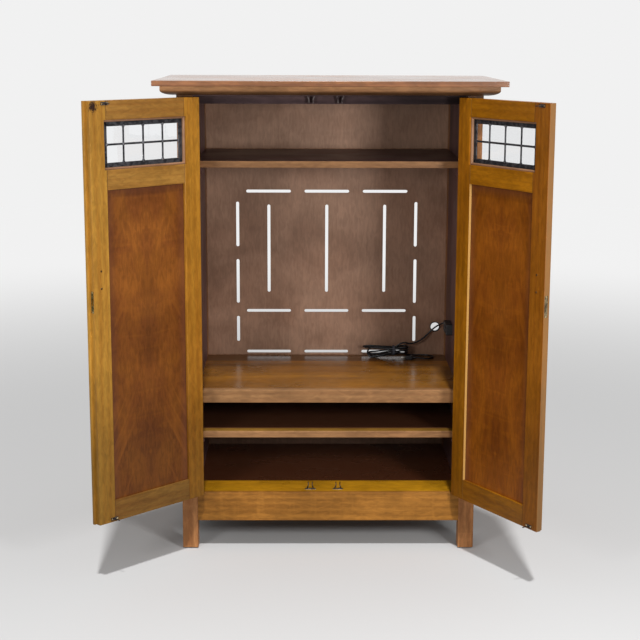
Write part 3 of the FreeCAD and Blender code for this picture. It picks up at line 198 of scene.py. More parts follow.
class Shader(Nodes):
    """A material under construction."""

    def __init__(self, name: str) -> None:
        """Start an empty material."""
        super().__init__(bpy.data.materials.new(name), "ShaderNodeOutputMaterial")

    def place(self, setting: Setting = Setting.CASE, centre: Triple = (0.0, 0.0, 0.0)) -> Socket:
        """Object coordinates, turned back to a body's closed position and moved to a centre.

        Args:
            setting: the body.
            centre: the new origin, in millimetres with the doors closed.

        Returns:
            The coordinates.
        """
        coords = self.add("ShaderNodeTexCoord").outputs["Object"]
        turned = self.add("ShaderNodeMapping", {"Vector": coords, "Location": setting.axis,
                                                "Rotation": (0.0, 0.0, setting.angle)},
                          vector_type="TEXTURE").outputs[0]
        back = Vector(centre) * MM - setting.axis
        return self.add("ShaderNodeMapping", {"Vector": turned, "Location": back},
                        vector_type="TEXTURE").outputs[0]

    def stretch(self, vector: Socket, scale: Sequence[float],
                turn: Triple = (0.0, 0.0, 0.0)) -> Socket:
        """Turned and scaled coordinates."""
        return self.add("ShaderNodeMapping", {"Vector": vector, "Rotation": turn,
                                              "Scale": tuple(scale)}).outputs[0]

    def noise(self, vector: Socket, scale: float = 1.0, detail: float = 2.0,
              distortion: float = 0.0) -> Socket:
        """A noise pattern's value."""
        return self.add("ShaderNodeTexNoise", {"Vector": vector, "Scale": scale, "Detail": detail,
                                               "Distortion": distortion}).outputs[0]

    def spread(self, value: Socket, low: float, high: float, start: float = 0.0,
               end: float = 1.0) -> Socket:
        """A value's range between low and high, spread smoothly from start to end."""
        return self.add("ShaderNodeMapRange", {"Value": value, "From Min": low, "From Max": high,
                                               "To Min": start, "To Max": end},
                        interpolation_type="SMOOTHSTEP").outputs[0]

    def blend(self, share: Socket | float, first: Socket | Colour, second: Socket | Colour,
              mode: str = "MIX") -> Socket:
        """Two colours mixed."""
        return self.add("ShaderNodeMix", {0: share, 6: first, 7: second}, data_type="RGBA",
                        blend_type=mode).outputs[2]

    def over(self, colour: Socket, other: Socket | Colour, where: Socket, amount: float) -> Socket:
        """A colour with an amount of another over it, where a mask says."""
        return self.blend(self.calc("MULTIPLY", where, amount), colour, other)

    def grey(self, value: Socket) -> Socket:
        """A number as a grey."""
        return self.add("ShaderNodeCombineColor", {0: value, 1: value, 2: value}).outputs[0]

    def surface(self, colour: Socket | Colour, roughness: Socket | float,
                height: Socket | None = None, depth: float = 0.0, **fixed: float) -> Socket:
        """The surface's shader.

        Args:
            colour: base colour.
            roughness: roughness.
            height: the pattern that raises the surface.
            depth: the height of that relief, in millimetres.
            fixed: constant inputs, with underscores for the spaces in their names.

        Returns:
            The shader.
        """
        inputs = {"Base Color": colour, "Roughness": roughness}
        inputs.update({key.replace("_", " ").title().replace("Ior", "IOR"): value
                       for key, value in fixed.items()})
        if height is not None:
            bump = self.add("ShaderNodeBump", {"Height": height, "Distance": depth * MM,
                                               "Strength": 1.0})
            inputs["Normal"] = bump.outputs[0]
        return self.add("ShaderNodeBsdfPrincipled", inputs).outputs[0]


# ---- finishes ---------------------------------------------------------------------------
@dataclass(frozen=True)
class Fade:
    """A change of lightness along an axis, between two places in millimetres.

    The share is the lightness left at the end: below 1 where it darkens, above 1 where it pales.
    Most finishes use it to paint light and shade onto the wood.
    """

    axis: Grain
    start: float
    end: float
    share: float


@dataclass(frozen=True)
class Pattern:
    """Noise drawn out along the grain, whose values between low and high are spread out."""

    along: float
    across: float
    detail: float = 3.0
    distortion: float = 0.0
    low: float = 0.3
    high: float = 0.7

    def stretched(self, shader: Shader, local: Socket, grain: Grain) -> Socket:
        """Coordinates scaled along and across the grain.

        Args:
            shader: the material.
            local: the coordinates.
            grain: the grain's axis.

        Returns:
            The scaled coordinates.
        """
        scale = [self.across, self.across, self.across]
        scale[grain.value] = self.along
        return shader.stretch(local, scale)

    def noise(self, shader: Shader, local: Socket, grain: Grain) -> Socket:
        """The bare noise."""
        return shader.noise(self.stretched(shader, local, grain), detail=self.detail,
                            distortion=self.distortion)

    def mask(self, shader: Shader, local: Socket, grain: Grain, start: float = 0.0,
             end: float = 1.0) -> Socket:
        """The noise, spread out from start to end."""
        return shader.spread(self.noise(shader, local, grain), self.low, self.high, start, end)


@dataclass(frozen=True)
class Wood:
    """Lacquered wood: tones, growth bands, streaks, pores and clouding along its grain.

    The colours are the light and the dark tone. The amounts run from 0 to 1.
    """

    name: str
    light: Colour
    dark: Colour
    roughness: float = 0.4
    coat: float = 0.0
    shine: float = 0.18
    streaks: float = 0.45
    flame: float = 0.0
    clouds: float = 0.3
    bands: float = 0.14
    # The broad figure's scales along and across the grain.
    figure: tuple[float, float] = (1.1, 9.0)
    curl: float = 0.0
    mottle: float = 0.15
    # A fade of lightness along an axis, if any; on most finishes it is painted light and shade.
    fade: Fade | None = None

    # The patterns of every wood.
    band = Pattern(0.55, 9.0)
    streak = Pattern(5.0, 190.0, detail=4.0, low=0.48, high=0.72)
    ripple = Pattern(34.0, 6.0, distortion=1.2, low=0.5, high=0.72)
    fleck = Pattern(26.0, 95.0, distortion=0.8)
    pore = Pattern(70.0, 1500.0, detail=1.0, low=0.6, high=0.74)
    pore_share = 0.45
    pore_depth = 0.06
    figure_bend = 0.4
    cloud_scale = 5.5
    cloud_range = (0.3, 0.7)
    tone_range = (0.22, 0.74)
    # How the gloss changes over the clouds.
    gloss_range = (-0.06, 0.08)
    coat_roughness = 0.2

    def colour(self, shader: Shader, local: Socket, grain: Grain) -> tuple[Socket, Socket, Socket]:
        """The wood's colour.

        Args:
            shader: the material.
            local: coordinates with the doors closed.
            grain: the grain's axis.

        Returns:
            The colour, the pores and the clouds.
        """
        figure = Pattern(*self.figure, distortion=self.figure_bend + self.curl)
        wave = shader.add("ShaderNodeTexWave",
                          {"Vector": self.band.stretched(shader, local, grain),
                           "Scale": 1.3, "Distortion": 7.0, "Detail": 2.0, "Detail Scale": 0.8},
                          bands_direction="X" if grain is Grain.Z else "Z").outputs["Fac"]
        tone = shader.calc("ADD", shader.calc("MULTIPLY", figure.noise(shader, local, grain),
                                              1.0 - self.bands),
                           shader.calc("MULTIPLY", wave, self.bands))
        colour = shader.blend(shader.spread(tone, *self.tone_range), self.dark, self.light)
        streaks = self.streak.mask(shader, local, grain)
        colour = shader.over(colour, self.dark, streaks, self.streaks)
        if self.flame:
            ripple = self.ripple.mask(shader, local, grain)
            colour = shader.over(colour, self.light, ripple, self.flame)
        clouds = shader.noise(local, self.cloud_scale, detail=3.0)
        shade = shader.spread(clouds, *self.cloud_range, 1.0 - self.clouds, 1.0)
        flecks = self.fleck.mask(shader, local, grain, 1.0 - self.mottle, 1.0 + self.mottle)
        shade = shader.calc("MULTIPLY", shade, flecks)
        # The fade, which on most finishes is painted light and shade.
        if self.fade:
            way = shader.add("ShaderNodeSeparateXYZ", {0: local}).outputs[self.fade.axis.value]
            left = shader.spread(way, self.fade.start * MM, self.fade.end * MM, 1.0,
                                 self.fade.share)
            shade = shader.calc("MULTIPLY", shade, left)
        colour = shader.blend(1.0, colour, shader.grey(shade), "MULTIPLY")
        pores = self.pore.mask(shader, local, grain)
        return shader.over(colour, self.dark, pores, self.pore_share), pores, clouds

    def local(self, shader: Shader, setting: Setting) -> Socket:
        """The coordinates that the patterns lie in."""
        return shader.place(setting)

    def marked_and_shaded(self, shader: Shader, setting: Setting, local: Socket, colour: Socket) -> Socket:
        """The wood's colour with its marks and painted light and shade, where it has any."""
        return colour

    def material(self, setting: Setting, grain: Grain) -> Material:
        """The finish on one body with one run of the grain, made at its first use.

        Args:
            setting: the body.
            grain: the grain's axis.

        Returns:
            The material.
        """
        name = "%s_%s_%s" % (self.name, setting.body, grain.name.lower())
        if name in bpy.data.materials:
            return bpy.data.materials[name]
        shader = Shader(name)
        local = self.local(shader, setting)
        colour, pores, clouds = self.colour(shader, local, grain)
        colour = self.marked_and_shaded(shader, setting, local, colour)
        rough = shader.spread(clouds, *self.cloud_range,
                              *(self.roughness + off for off in self.gloss_range))
        height = shader.calc("MULTIPLY", pores, -1.0)
        return shader.close(shader.surface(colour, rough, height, self.pore_depth,
                                           coat_weight=self.coat,
                                           coat_roughness=self.coat_roughness,
                                           specular_ior_level=self.shine))


@dataclass(frozen=True)
class Spot:
    """An ellipsoid of another colour in a piece of wood, with a sharp or a ragged rim.

    The rim says where it begins and where it is full, with its reach counting as 1.
    Spots carry real marks, and also painted shade, shadow and highlight.
    """

    centre: Triple
    reach: Triple
    colour: Colour
    share: float = 0.9
    ragged: float = 0.0
    rim: tuple[float, float] = (1.01, 0.985)
    stroke_scale = 330.0

    def paint(self, shader: Shader, setting: Setting, local: Socket, colour: Socket) -> Socket:
        """The wood's colour with the spot over it.

        Args:
            shader: the material.
            setting: the body.
            local: the coordinates that the patterns lie in.
            colour: the wood's colour.

        Returns:
            The marked colour.
        """
        near = shader.stretch(shader.place(setting, self.centre),
                              [1.0 / (size * MM) for size in self.reach])
        edge = shader.add("ShaderNodeVectorMath", {0: near}, operation="LENGTH").outputs["Value"]
        if self.ragged:
            strokes = shader.noise(shader.stretch(local, (1.0, 1.0, 0.5)), self.stroke_scale,
                                   distortion=1.5)
            edge = shader.calc("ADD", edge, shader.calc("MULTIPLY", strokes, self.ragged))
        return shader.over(colour, self.colour, shader.spread(edge, *self.rim), self.share)


@dataclass(frozen=True)
class MarkedAndShadedWood(Wood):
    """Wood with spots of other colours: real marks, and painted shade, shadow and highlight."""

    spots: tuple[Spot, ...] = ()

    def marked_and_shaded(self, shader: Shader, setting: Setting, local: Socket, colour: Socket) -> Socket:
        """The wood's colour with its spots.

        Args:
            shader: the material.
            setting: the body.
            local: the coordinates that the patterns lie in.
            colour: the wood's colour.

        Returns:
            The colour with its spots.
        """
        for spot in self.spots:
            colour = spot.paint(shader, setting, local, colour)
        return colour


@dataclass(frozen=True)
class RimmedWood(Wood):
    """Wood whose outermost millimetres, seen from the front, are darker.

    On the rails it is the dark joint at their ends; on the glass stops it is painted shade
    in the crease where they meet their rebate.
    """

    centre: tuple[float, float] = (238.5, 1500.5)
    half: tuple[float, float] = (175.5, 81.5)
    rim: Colour = (0.05, 0.018, 0.007, 1.0)
    width: float = 1.2
    share: float = 0.8

    def local(self, shader: Shader, setting: Setting) -> Socket:
        """Coordinates round the middle of the rim."""
        across, height = self.centre
        return shader.place(setting, (setting.side * across, 0.0, height))

    def marked_and_shaded(self, shader: Shader, setting: Setting, local: Socket, colour: Socket) -> Socket:
        """The wood's colour with its rim.

        Args:
            shader: the material.
            setting: the body; not used.
            local: the coordinates that the patterns lie in.
            colour: the wood's colour.

        Returns:
            The colour with its darker rim.
        """
        parts = shader.add("ShaderNodeSeparateXYZ", {0: local})
        edges = [shader.calc("SUBTRACT", shader.calc("ABSOLUTE", parts.outputs[axis.value]),
                             (half - self.width) * MM)
                 for axis, half in zip((Grain.X, Grain.Z), self.half)]
        near = shader.spread(shader.calc("MAXIMUM", *edges), -0.2 * MM, 0.2 * MM)
        return shader.over(colour, self.rim, near, self.share)


@dataclass(frozen=True)
class Veneer(Wood):
    """Book-matched feather veneer: streaks rise from a dark seam up the middle of the panel.

    The panel's middle is given off the case's middle, and its top and its figure's heart over
    the floor. Half is half its width.
    """

    middle: float = 238.5
    half: float = 167.5
    top: float = 1353.0
    heart: float = 900.0
    seam: Colour = (0.06, 0.02, 0.008, 1.0)
    stain: Colour = (0.13, 0.045, 0.025, 1.0)
    depth: float = 0.4
    rise: float = 0.55

    # The feather's scales, and from and to how far off the seam it sets in.
    feather_scale = (26.0, 3.0, 3.4)
    feather_reach = (30.0, 130.0)
    # How much the dark heart's edge wanders, and how much it narrows above and below.
    wander = 0.12
    narrowing = 0.12
    # Widths of the stained border and of the dark line, in millimetres, and their shares.
    # The dark line is painted shadow where the panel sits recessed in its frame.
    border = 40.0
    border_share = 0.5
    line = (4.0, 2.0)
    shadow_line_share = 0.6

    def local(self, shader: Shader, setting: Setting) -> Socket:
        """Coordinates round the heart of the panel."""
        return shader.place(setting, (setting.side * self.middle, 0.0, self.heart))

    def colour(self, shader: Shader, local: Socket, grain: Grain) -> tuple[Socket, Socket, Socket]:
        """The veneer's colour.

        Args:
            shader: the material.
            local: coordinates round the heart of the panel.
            grain: the grain's axis.

        Returns:
            The colour, the pores and the clouds.
        """
        across, deep, up = shader.add("ShaderNodeSeparateXYZ", {0: local}).outputs
        away = shader.calc("ABSOLUTE", across)
        folded = shader.add("ShaderNodeCombineXYZ", {0: away, 1: deep, 2: up}).outputs[0]
        colour, pores, clouds = super().colour(shader, folded, grain)
        lean = shader.stretch(folded, (1.0, 1.0, 1.0), (0.0, self.rise, 0.0))
        feather = shader.noise(shader.stretch(lean, self.feather_scale), detail=4.0,
                               distortion=1.1)
        glow = shader.calc("MULTIPLY", shader.spread(feather, 0.46, 0.7), self.flame)
        inner, outer = (reach * MM for reach in self.feather_reach)
        reach = shader.spread(away, inner, outer)
        colour = shader.blend(shader.calc("MULTIPLY", glow, reach), colour, self.light)
        wander = shader.calc("MULTIPLY", shader.noise(local, 4.0, 3.0), self.wander)
        narrowing = shader.calc("MULTIPLY", shader.calc("ABSOLUTE", up), self.narrowing)
        off_seam = shader.calc("ADD", shader.calc("ADD", away, wander), narrowing)
        heart = shader.spread(off_seam, outer, inner)
        colour = shader.over(colour, self.seam, heart, self.depth)
        rise = shader.calc("SUBTRACT", up, (self.top - self.heart - self.half) * MM)
        rim = shader.calc("MAXIMUM", away, rise)
        stained = shader.spread(rim, (self.half - self.border) * MM, self.half * MM)
        colour = shader.over(colour, self.stain, stained, self.border_share)
        # Painted shadow: a dark line in the seam's colour round the recessed panel.
        line = shader.spread(rim, *((self.half - inset) * MM for inset in self.line))
        return shader.over(colour, self.seam, line, self.shadow_line_share), pores, clouds


@dataclass(frozen=True)
class Plain:
    """A finish that is the same on every body."""

    name: str

    def material(self) -> Material:
        """The finish, made at its first use."""
        return bpy.data.materials.get(self.name) or self.make(Shader(self.name))

    def make(self, shader: Shader) -> Material:
        """Build the material, as each kind of finish does."""
        raise NotImplementedError


@dataclass(frozen=True)
class Metal(Plain):
    """Metal with a patina: two colours in clouds, fine scratches and uneven gloss."""

    bright: Colour
    dull: Colour
    metallic: float = 1.0
    roughness: float = 0.4
    patina: float = 90.0
    patina_roughness = 0.2
    scratch_scale = (900.0, 900.0, 120.0)
    scratch_depth = 0.04

    def make(self, shader: Shader) -> Material:
        """Build the material.

        Args:
            shader: the empty material.

        Returns:
            The material.
        """
        local = shader.place()
        mask = shader.spread(shader.noise(local, self.patina, 4.0, 0.6), 0.38, 0.62)
        colour = shader.blend(mask, self.bright, self.dull)
        rough = shader.calc("ADD", shader.calc("MULTIPLY", mask, self.patina_roughness),
                            self.roughness)
        scratches = shader.noise(shader.stretch(local, self.scratch_scale))
        return shader.close(shader.surface(colour, rough, scratches, self.scratch_depth,
                                           metallic=self.metallic))


@dataclass(frozen=True)
class Moulded(Plain):
    """Moulded plastic or rubber: near-black with a fine grain and faint dust."""

    base: Colour
    dust: Colour
    roughness: float = 0.5
    grain: float = 1400.0
    grain_depth = 0.05
    dust_scale = 45.0
    dust_share = 0.6
    dust_roughness = 0.3

    def make(self, shader: Shader) -> Material:
        """Build the material.

        Args:
            shader: the empty material.

        Returns:
            The material.
        """
        local = shader.place()
        dust = shader.spread(shader.noise(local, self.dust_scale, 4.0, 0.5), 0.45, 0.8,
                             end=self.dust_share)
        colour = shader.blend(dust, self.base, self.dust)
        rough = shader.calc("ADD", shader.calc("MULTIPLY", dust, self.dust_roughness),
                            self.roughness)
        fine = shader.noise(local, self.grain)
        return shader.close(shader.surface(colour, rough, fine, self.grain_depth))


@dataclass(frozen=True)
class Glass(Plain):
    """Old sheet glass, faintly wavy, that hardly shades what lies behind it."""

    tint: Colour
    index = 1.45
    wave_scale = (14.0, 14.0, 5.0)
    wave_depth = 0.6
    smear_scale = 30.0
    smear_roughness = (0.01, 0.05)

    def make(self, shader: Shader) -> Material:
        """Build the material.

        Args:
            shader: the empty material.

        Returns:
            The material.
        """
        local = shader.place()
        waves = shader.noise(shader.stretch(local, self.wave_scale), distortion=0.5)
        smear = shader.spread(shader.noise(local, self.smear_scale, 3.0), 0.35, 0.75,
                              *self.smear_roughness)
        glass = shader.surface(self.tint, smear, waves, self.wave_depth, transmission_weight=1.0,
                               ior=self.index)
        light = shader.add("ShaderNodeLightPath")
        clear = shader.add("ShaderNodeBsdfTransparent", {0: self.tint})
        return shader.close(shader.add("ShaderNodeMixShader", {
            0: light.outputs["Is Shadow Ray"], 1: glass, 2: clear.outputs[0]}).outputs[0])


class Finishes:
    """Every finish of the armoire."""

    # A door's wood is darkened downwards as painted shade, the light falling off towards its foot.
    # The rails' fade counts from the middle of their rim.
    left_stile_painted_shade = Fade(Grain.Z, 900.0, 260.0, 0.55)
    left_rail_painted_shade = Fade(Grain.Z, -30.0, -670.0, 0.55)
    right_stile_painted_shade = Fade(Grain.Z, 900.0, 260.0, 0.7)
    right_rail_painted_shade = Fade(Grain.Z, -30.0, -670.0, 0.7)
    # A spot's reach or a rim's half that comes to metres runs past both ends of its piece.

    case = Wood("case_oak", srgb(182, 127, 72), srgb(134, 86, 46), flame=0.25)
    # The front posts' tops under the cornice are darkened as a painted shadow of the cornice.
    case_front = Wood("case_front", srgb(207, 145, 92), srgb(161, 105, 63), flame=0.35,
                      fade=Fade(Grain.Z, 1634.0, 1646.0, 0.22))
    apron = Wood("apron_oak", srgb(179, 121, 52), srgb(137, 88, 34), flame=0.35)
    top = Wood("top_oak", srgb(172, 114, 70), srgb(119, 72, 43), roughness=0.25, coat=0.7)
    # The moulding's lower curve is darkened as painted shade under the slab.
    moulding = Wood("moulding_oak", srgb(188, 138, 93), srgb(136, 92, 58), roughness=0.35,
                    fade=Fade(Grain.Z, 1670.0, 1660.0, 0.35))
    # Painted light pales the deck towards the back, and a painted shadow of the top shelf darkens its
    # rearmost strip.
    deck = MarkedAndShadedWood("deck_oak", srgb(166, 111, 32), srgb(125, 77, 19), roughness=0.3, coat=0.14,
                      fade=Fade(Grain.Y, 70.0, 190.0, 1.75),
                      spots=(Spot((0.0, 409.0, DECK_TOP), (5000.0, 200.0, 500.0),
                                  srgb(112, 76, 40)),))
    # Behind their front strips the lower shelf and the floor board are dark: partly a darker veneer,
    # partly painted shade under the board above each.
    shelf = MarkedAndShadedWood("lower_shelf_oak", srgb(155, 114, 48), srgb(118, 82, 29),
                       spots=(Spot((0.0, 67.0, 418.0), (9000.0, 300.0, 500.0),
                                   srgb(82, 50, 33), 1.0),))
    floor = MarkedAndShadedWood("floor_oak", srgb(196, 142, 26), srgb(163, 112, 18), roughness=0.3, coat=0.2,
                       spots=(Spot((0.0, 320.0, FLOOR_TOP), (9000.0, 500.0, 500.0),
                                   srgb(104, 60, 38), 1.0),))
    edge = Wood("edge_oak", srgb(181, 136, 90), srgb(146, 104, 67), streaks=0.35, clouds=0.25)
    lipping = Wood("lipping_oak", srgb(168, 123, 82), srgb(133, 92, 59), streaks=0.35, clouds=0.25)
    # The head rail's colours are darkened as painted shade under the cornice, and it darkens further
    # towards the right.
    shaded_header = Wood("header_shaded_veneer", srgb(86, 68, 68), srgb(52, 42, 44), clouds=0.4, streaks=0.3,
                  shine=0.04, roughness=0.6, fade=Fade(Grain.X, 50.0, 330.0, 0.35))
    inside = Wood("inside_veneer", srgb(119, 85, 83), srgb(75, 53, 55), clouds=0.35, streaks=0.3)
    back = Wood("back_veneer", srgb(183, 146, 122), srgb(155, 119, 97), clouds=0.22, streaks=0.25,
                bands=0.0, figure=(4.5, 3.0), curl=0.8, mottle=0.1)
    bead = Wood("bead_veneer", srgb(176, 136, 108), srgb(140, 100, 76), clouds=0.3)
    left_stile = Wood("left_stile", srgb(190, 132, 44), srgb(161, 102, 29), clouds=0.2,
                      fade=left_stile_painted_shade)
    left_rails = RimmedWood("left_rails", srgb(175, 127, 58), srgb(147, 96, 39), clouds=0.2,
                            streaks=0.5, fade=left_rail_painted_shade, centre=(238.5, 930.0),
                            half=(167.5, 5000.0), width=2.0, share=0.6)
    left_marked = MarkedAndShadedWood("left_marked", srgb(194, 144, 58), srgb(165, 111, 38), clouds=0.2,
                             streaks=0.35, fade=left_stile_painted_shade,
                             spots=(Spot((-20.0, DOOR_INSIDE, 1627.0), (17.0, 6.0, 20.0),
                                         srgb(40, 18, 10), 1.0, 3.4, (2.65, 2.4)),))
    right_stile = MarkedAndShadedWood("right_stile", srgb(180, 116, 17), srgb(145, 86, 9), clouds=0.2,
                             streaks=0.5, fade=right_stile_painted_shade,
                             # Painted highlight: a pale line down the hinge stile's edge face beside the
                             # panel.
                             spots=(Spot((406.0, DOOR_INSIDE - 10.0, 821.0), (0.6, 13.0, 50000.0),
                                         srgb(206, 160, 92)),
                                    # Painted shade: the rebate's outer lip, seen through the glass, is
                                    # darkened.
                                    Spot((406.0, FRONT + 4.0, 1500.5), (0.8, 14.5, 90.0),
                                         srgb(84, 76, 70))))
    right_rails = RimmedWood("right_rails", srgb(181, 116, 17), srgb(146, 86, 9), clouds=0.2,
                             streaks=0.5, fade=right_rail_painted_shade, centre=(238.5, 930.0),
                             half=(167.5, 5000.0), width=2.0, share=0.6)
    right_meeting = MarkedAndShadedWood("right_meeting", srgb(160, 97, 20), srgb(129, 70, 9), clouds=0.2,
                               streaks=0.5, fade=right_stile_painted_shade,
                               spots=(Spot((-20.0, FRONT + 8.0, 930.0), (27.0, 28.0, 50000.0),
                                           srgb(150, 116, 76), 0.6),))
    # The left panel too is darkened downwards as painted shade.
    left_panel = Veneer("left_panel", srgb(149, 88, 32), srgb(120, 65, 27), flame=0.45,
                        clouds=0.25, streaks=0.15, bands=0.0, figure=(3.6, 6.5), curl=1.2,
                        mottle=0.17, fade=Fade(Grain.Z, 200.0, -600.0, 0.6))
    right_panel = Veneer("right_panel", srgb(159, 90, 20), srgb(120, 60, 14), flame=0.5,
                         clouds=0.25, streaks=0.2, bands=0.0, figure=(2.6, 7.0), curl=0.8,
                         mottle=0.15, rise=0.3, depth=0.22)
    # The stops' dark rim is painted shade in the crease where they meet their rebate.
    stops = RimmedWood("stop_oak", srgb(178, 136, 104), srgb(144, 104, 78), clouds=0.2)
    bronze = Metal("aged_bronze_metal", srgb(96, 74, 52), srgb(44, 34, 28), roughness=0.42)
    keeper = Metal("keeper_metal", srgb(122, 112, 74), srgb(78, 70, 44), roughness=0.5)
    brass = Metal("aged_brass_metal", srgb(150, 134, 104), srgb(84, 74, 58), roughness=0.4)
    screws = Metal("brass_screw_metal", srgb(226, 206, 160), srgb(160, 130, 82), roughness=0.25)
    nickel = Metal("catch_nickel", srgb(190, 188, 182), srgb(120, 116, 110), roughness=0.3)
    steel = Metal("catch_steel", srgb(92, 86, 84), srgb(40, 34, 34), roughness=0.38)
    came = Metal("lead_came_metal", srgb(74, 74, 78), srgb(34, 34, 38), 0.7, 0.45, 60.0)
    solder = Metal("solder_metal", srgb(120, 120, 124), srgb(70, 70, 74), 0.9, 0.35)
    glide = Metal("glide_metal", srgb(210, 210, 208), srgb(150, 148, 144), roughness=0.22)
    plastic = Moulded("box_plastic", srgb(22, 21, 24), srgb(46, 44, 46))
    ring = Moulded("ring_plastic", srgb(10, 9, 10), srgb(22, 20, 20))
    rubber = Moulded("lead_rubber", srgb(11, 11, 15), srgb(34, 35, 42), roughness=0.38)
    tie = Moulded("tie_fabric", srgb(64, 66, 76), srgb(92, 94, 104), roughness=0.6)
    glass = Glass("clear_glass_sheet", (0.97, 0.98, 0.99, 1.0))


# ---- mesh helpers -------------------------------------------------------------------------
class Bench:
    """Makes meshes and puts finished pieces in the scene."""

    # Faces wider than this, in millimetres, are shaded flat.
    broad = 6.0
    # From how many degrees on an edge is shaded sharp, and a CAD edge is eased.
    sharp = 32.0
    eased_from = 50.0
    # In CAD meshes, points this close in millimetres are one, and bends of this many degrees go.
    weld = 0.01
    flat = 0.4
    up = Vector((0.0, 0.0, 1.0))

    @staticmethod
    def round_off(mesh: Mesh, edges: Iterable[bmesh.types.BMEdge], radius: float,
                  segments: int = 2, clamp: bool = True) -> None:
        """Round edges of a mesh.

        Args:
            mesh: the mesh.
            edges: the edges.
            radius: the rounding in millimetres.
            segments: facets of that radius.
            clamp: whether roundings that would overlap are made smaller.
        """
        bmesh.ops.bevel(mesh, geom=list(edges), offset=radius * MM, segments=segments,
                        profile=0.5, affect="EDGES", clamp_overlap=clamp, material=-1)

    @staticmethod
    def join(mesh: Mesh, part: Mesh, number: int = 0) -> None:
        """Add a part to a mesh, and use the part up.

        Args:
            mesh: the mesh to add to.
            part: the part.
            number: the material number of the part's faces.
        """
        for face in part.faces:
            face.material_index = number
        shape = bpy.data.meshes.new("part")
        part.to_mesh(shape)
        part.free()
        mesh.from_mesh(shape)
        bpy.data.meshes.remove(shape)

    @staticmethod
    def new_verts(made: list) -> list[bmesh.types.BMVert]:
        """The vertices among what an operator made."""
        return [item for item in made if isinstance(item, bmesh.types.BMVert)]

    @staticmethod
    def split(mesh: Mesh, place: Vector, way: Vector, clear: bool = False) -> list:
        """Cut a mesh along a plane, and clear what lies beyond it if wanted.

        Args:
            mesh: the mesh.
            place: a point of the plane, in metres.
            way: the plane's direction, towards what is cleared.
            clear: whether the far side goes.

        Returns:
            The cut's vertices and edges.
        """
        return bmesh.ops.bisect_plane(mesh, geom=mesh.verts[:] + mesh.edges[:] + mesh.faces[:],
                                      plane_co=place, plane_no=way, clear_outer=clear)["geom_cut"]

    @classmethod
    def aim(cls, way: Vector) -> Matrix:
        """The turn from straight up to a direction."""
        return cls.up.rotation_difference(way).to_matrix().to_4x4()

    @staticmethod
    def block(mesh: Mesh, low: Sequence[float], high: Sequence[float],
              ease: float = 0.0, segments: int = 2) -> None:
        """Add a box with eased edges.

        Args:
            mesh: the mesh to add to.
            low, high: opposite corners in millimetres.
            ease: radius of its edges in millimetres.
            segments: facets of that radius.
        """
        low_corner = Vector(map(min, low, high)) * MM
        high_corner = Vector(map(max, low, high)) * MM
        size = high_corner - low_corner
        matrix = Matrix.Translation((low_corner + high_corner) / 2) @ Matrix.Diagonal((*size, 1.0))
        verts = bmesh.ops.create_cube(mesh, size=1.0, matrix=matrix)["verts"]
        if ease:
            edges = {edge for vert in verts for edge in vert.link_edges}
            Bench.round_off(mesh, edges, ease, segments)

    @staticmethod
    def slab(mesh: Mesh, middle: Sequence[float], size: Sequence[float], ease: float = 0.0,
             segments: int = 2) -> None:
        """Add a box round a middle.

        Args:
            mesh: the mesh to add to.
            middle: its middle in millimetres.
            size: its width, depth and height in millimetres.
            ease: radius of its edges in millimetres.
            segments: facets of that radius.
        """
        low, high = ([place + way * side / 2 for place, side in zip(middle, size)]
                     for way in (-1.0, 1.0))
        Bench.block(mesh, low, high, ease, segments)

    @staticmethod
    def disc(mesh: Mesh, radius: float, depth: float, at: Vector, way: Vector,
             sides: int = 28, end: float | None = None) -> None:
        """Add a round bar or cone.

        Args:
            mesh: the mesh to add to.
            radius: its radius in millimetres.
            depth: its length in millimetres.
            at: the middle of its start, in metres.
            way: its unit direction.
            sides: facets round it.
            end: its radius at the far end, if that differs.
        """
        matrix = Matrix.Translation(at + way * depth * MM / 2) @ Bench.aim(way)
        bmesh.ops.create_cone(mesh, cap_ends=True, segments=sides, radius1=radius * MM,
                              radius2=(radius if end is None else end) * MM, depth=depth * MM,
                              matrix=matrix)

    @classmethod
    def put(cls, mesh: Mesh, name: str, setting: Setting,
            materials: Sequence[Material], slot: Slot, nodes: Iterable[str] = (),
            closed: bool = True) -> bpy.types.Object:
        """Turn a finished mesh into a piece on its body.

        Args:
            mesh: the mesh, which is used up.
            name: the piece's name.
            setting: the body that it rides on.
            materials: its materials, in the order of its material numbers.
            slot: the record's material slot; not used.
            nodes: the CAD nodes that it stands for.
            closed: whether it was made with the doors closed.

        Returns:
            The piece.
        """
        if closed and setting is not Setting.CASE:
            bmesh.ops.transform(mesh, matrix=setting.swing(), verts=mesh.verts)
        data = bpy.data.meshes.new(name)
        mesh.to_mesh(data)
        mesh.free()
        for material in materials:
            data.materials.append(material)
        data.shade_smooth()
        data.set_sharp_from_angle(angle=math.radians(cls.sharp))
        places = data.vertices
        for face in data.polygons:
            longest = max((places[a].co - places[b].co).length for a, b in face.edge_keys)
            if face.area > cls.broad * MM * longest:
                face.use_smooth = False
        piece = bpy.data.objects.new(name, data)
        bpy.context.scene.collection.objects.link(piece)
        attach(piece, setting.body)
        if nodes:
            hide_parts(*nodes)
        log.info("%s: %d faces on %s", name, len(data.polygons), setting.body)
        return piece

    @staticmethod
    def merged(node: str) -> Mesh:
        """A CAD node's shape as one merged mesh with whole faces.

        Args:
            node: the CAD node.

        Returns:
            The mesh.
        """
        mesh = bmesh.new()
        mesh.from_mesh(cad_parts[node].data)
        bmesh.ops.remove_doubles(mesh, verts=mesh.verts, dist=Bench.weld * MM)
        bmesh.ops.dissolve_limit(mesh, angle_limit=math.radians(Bench.flat), verts=mesh.verts,
                                 edges=mesh.edges, use_dissolve_boundaries=False)
        mesh.normal_update()
        return mesh

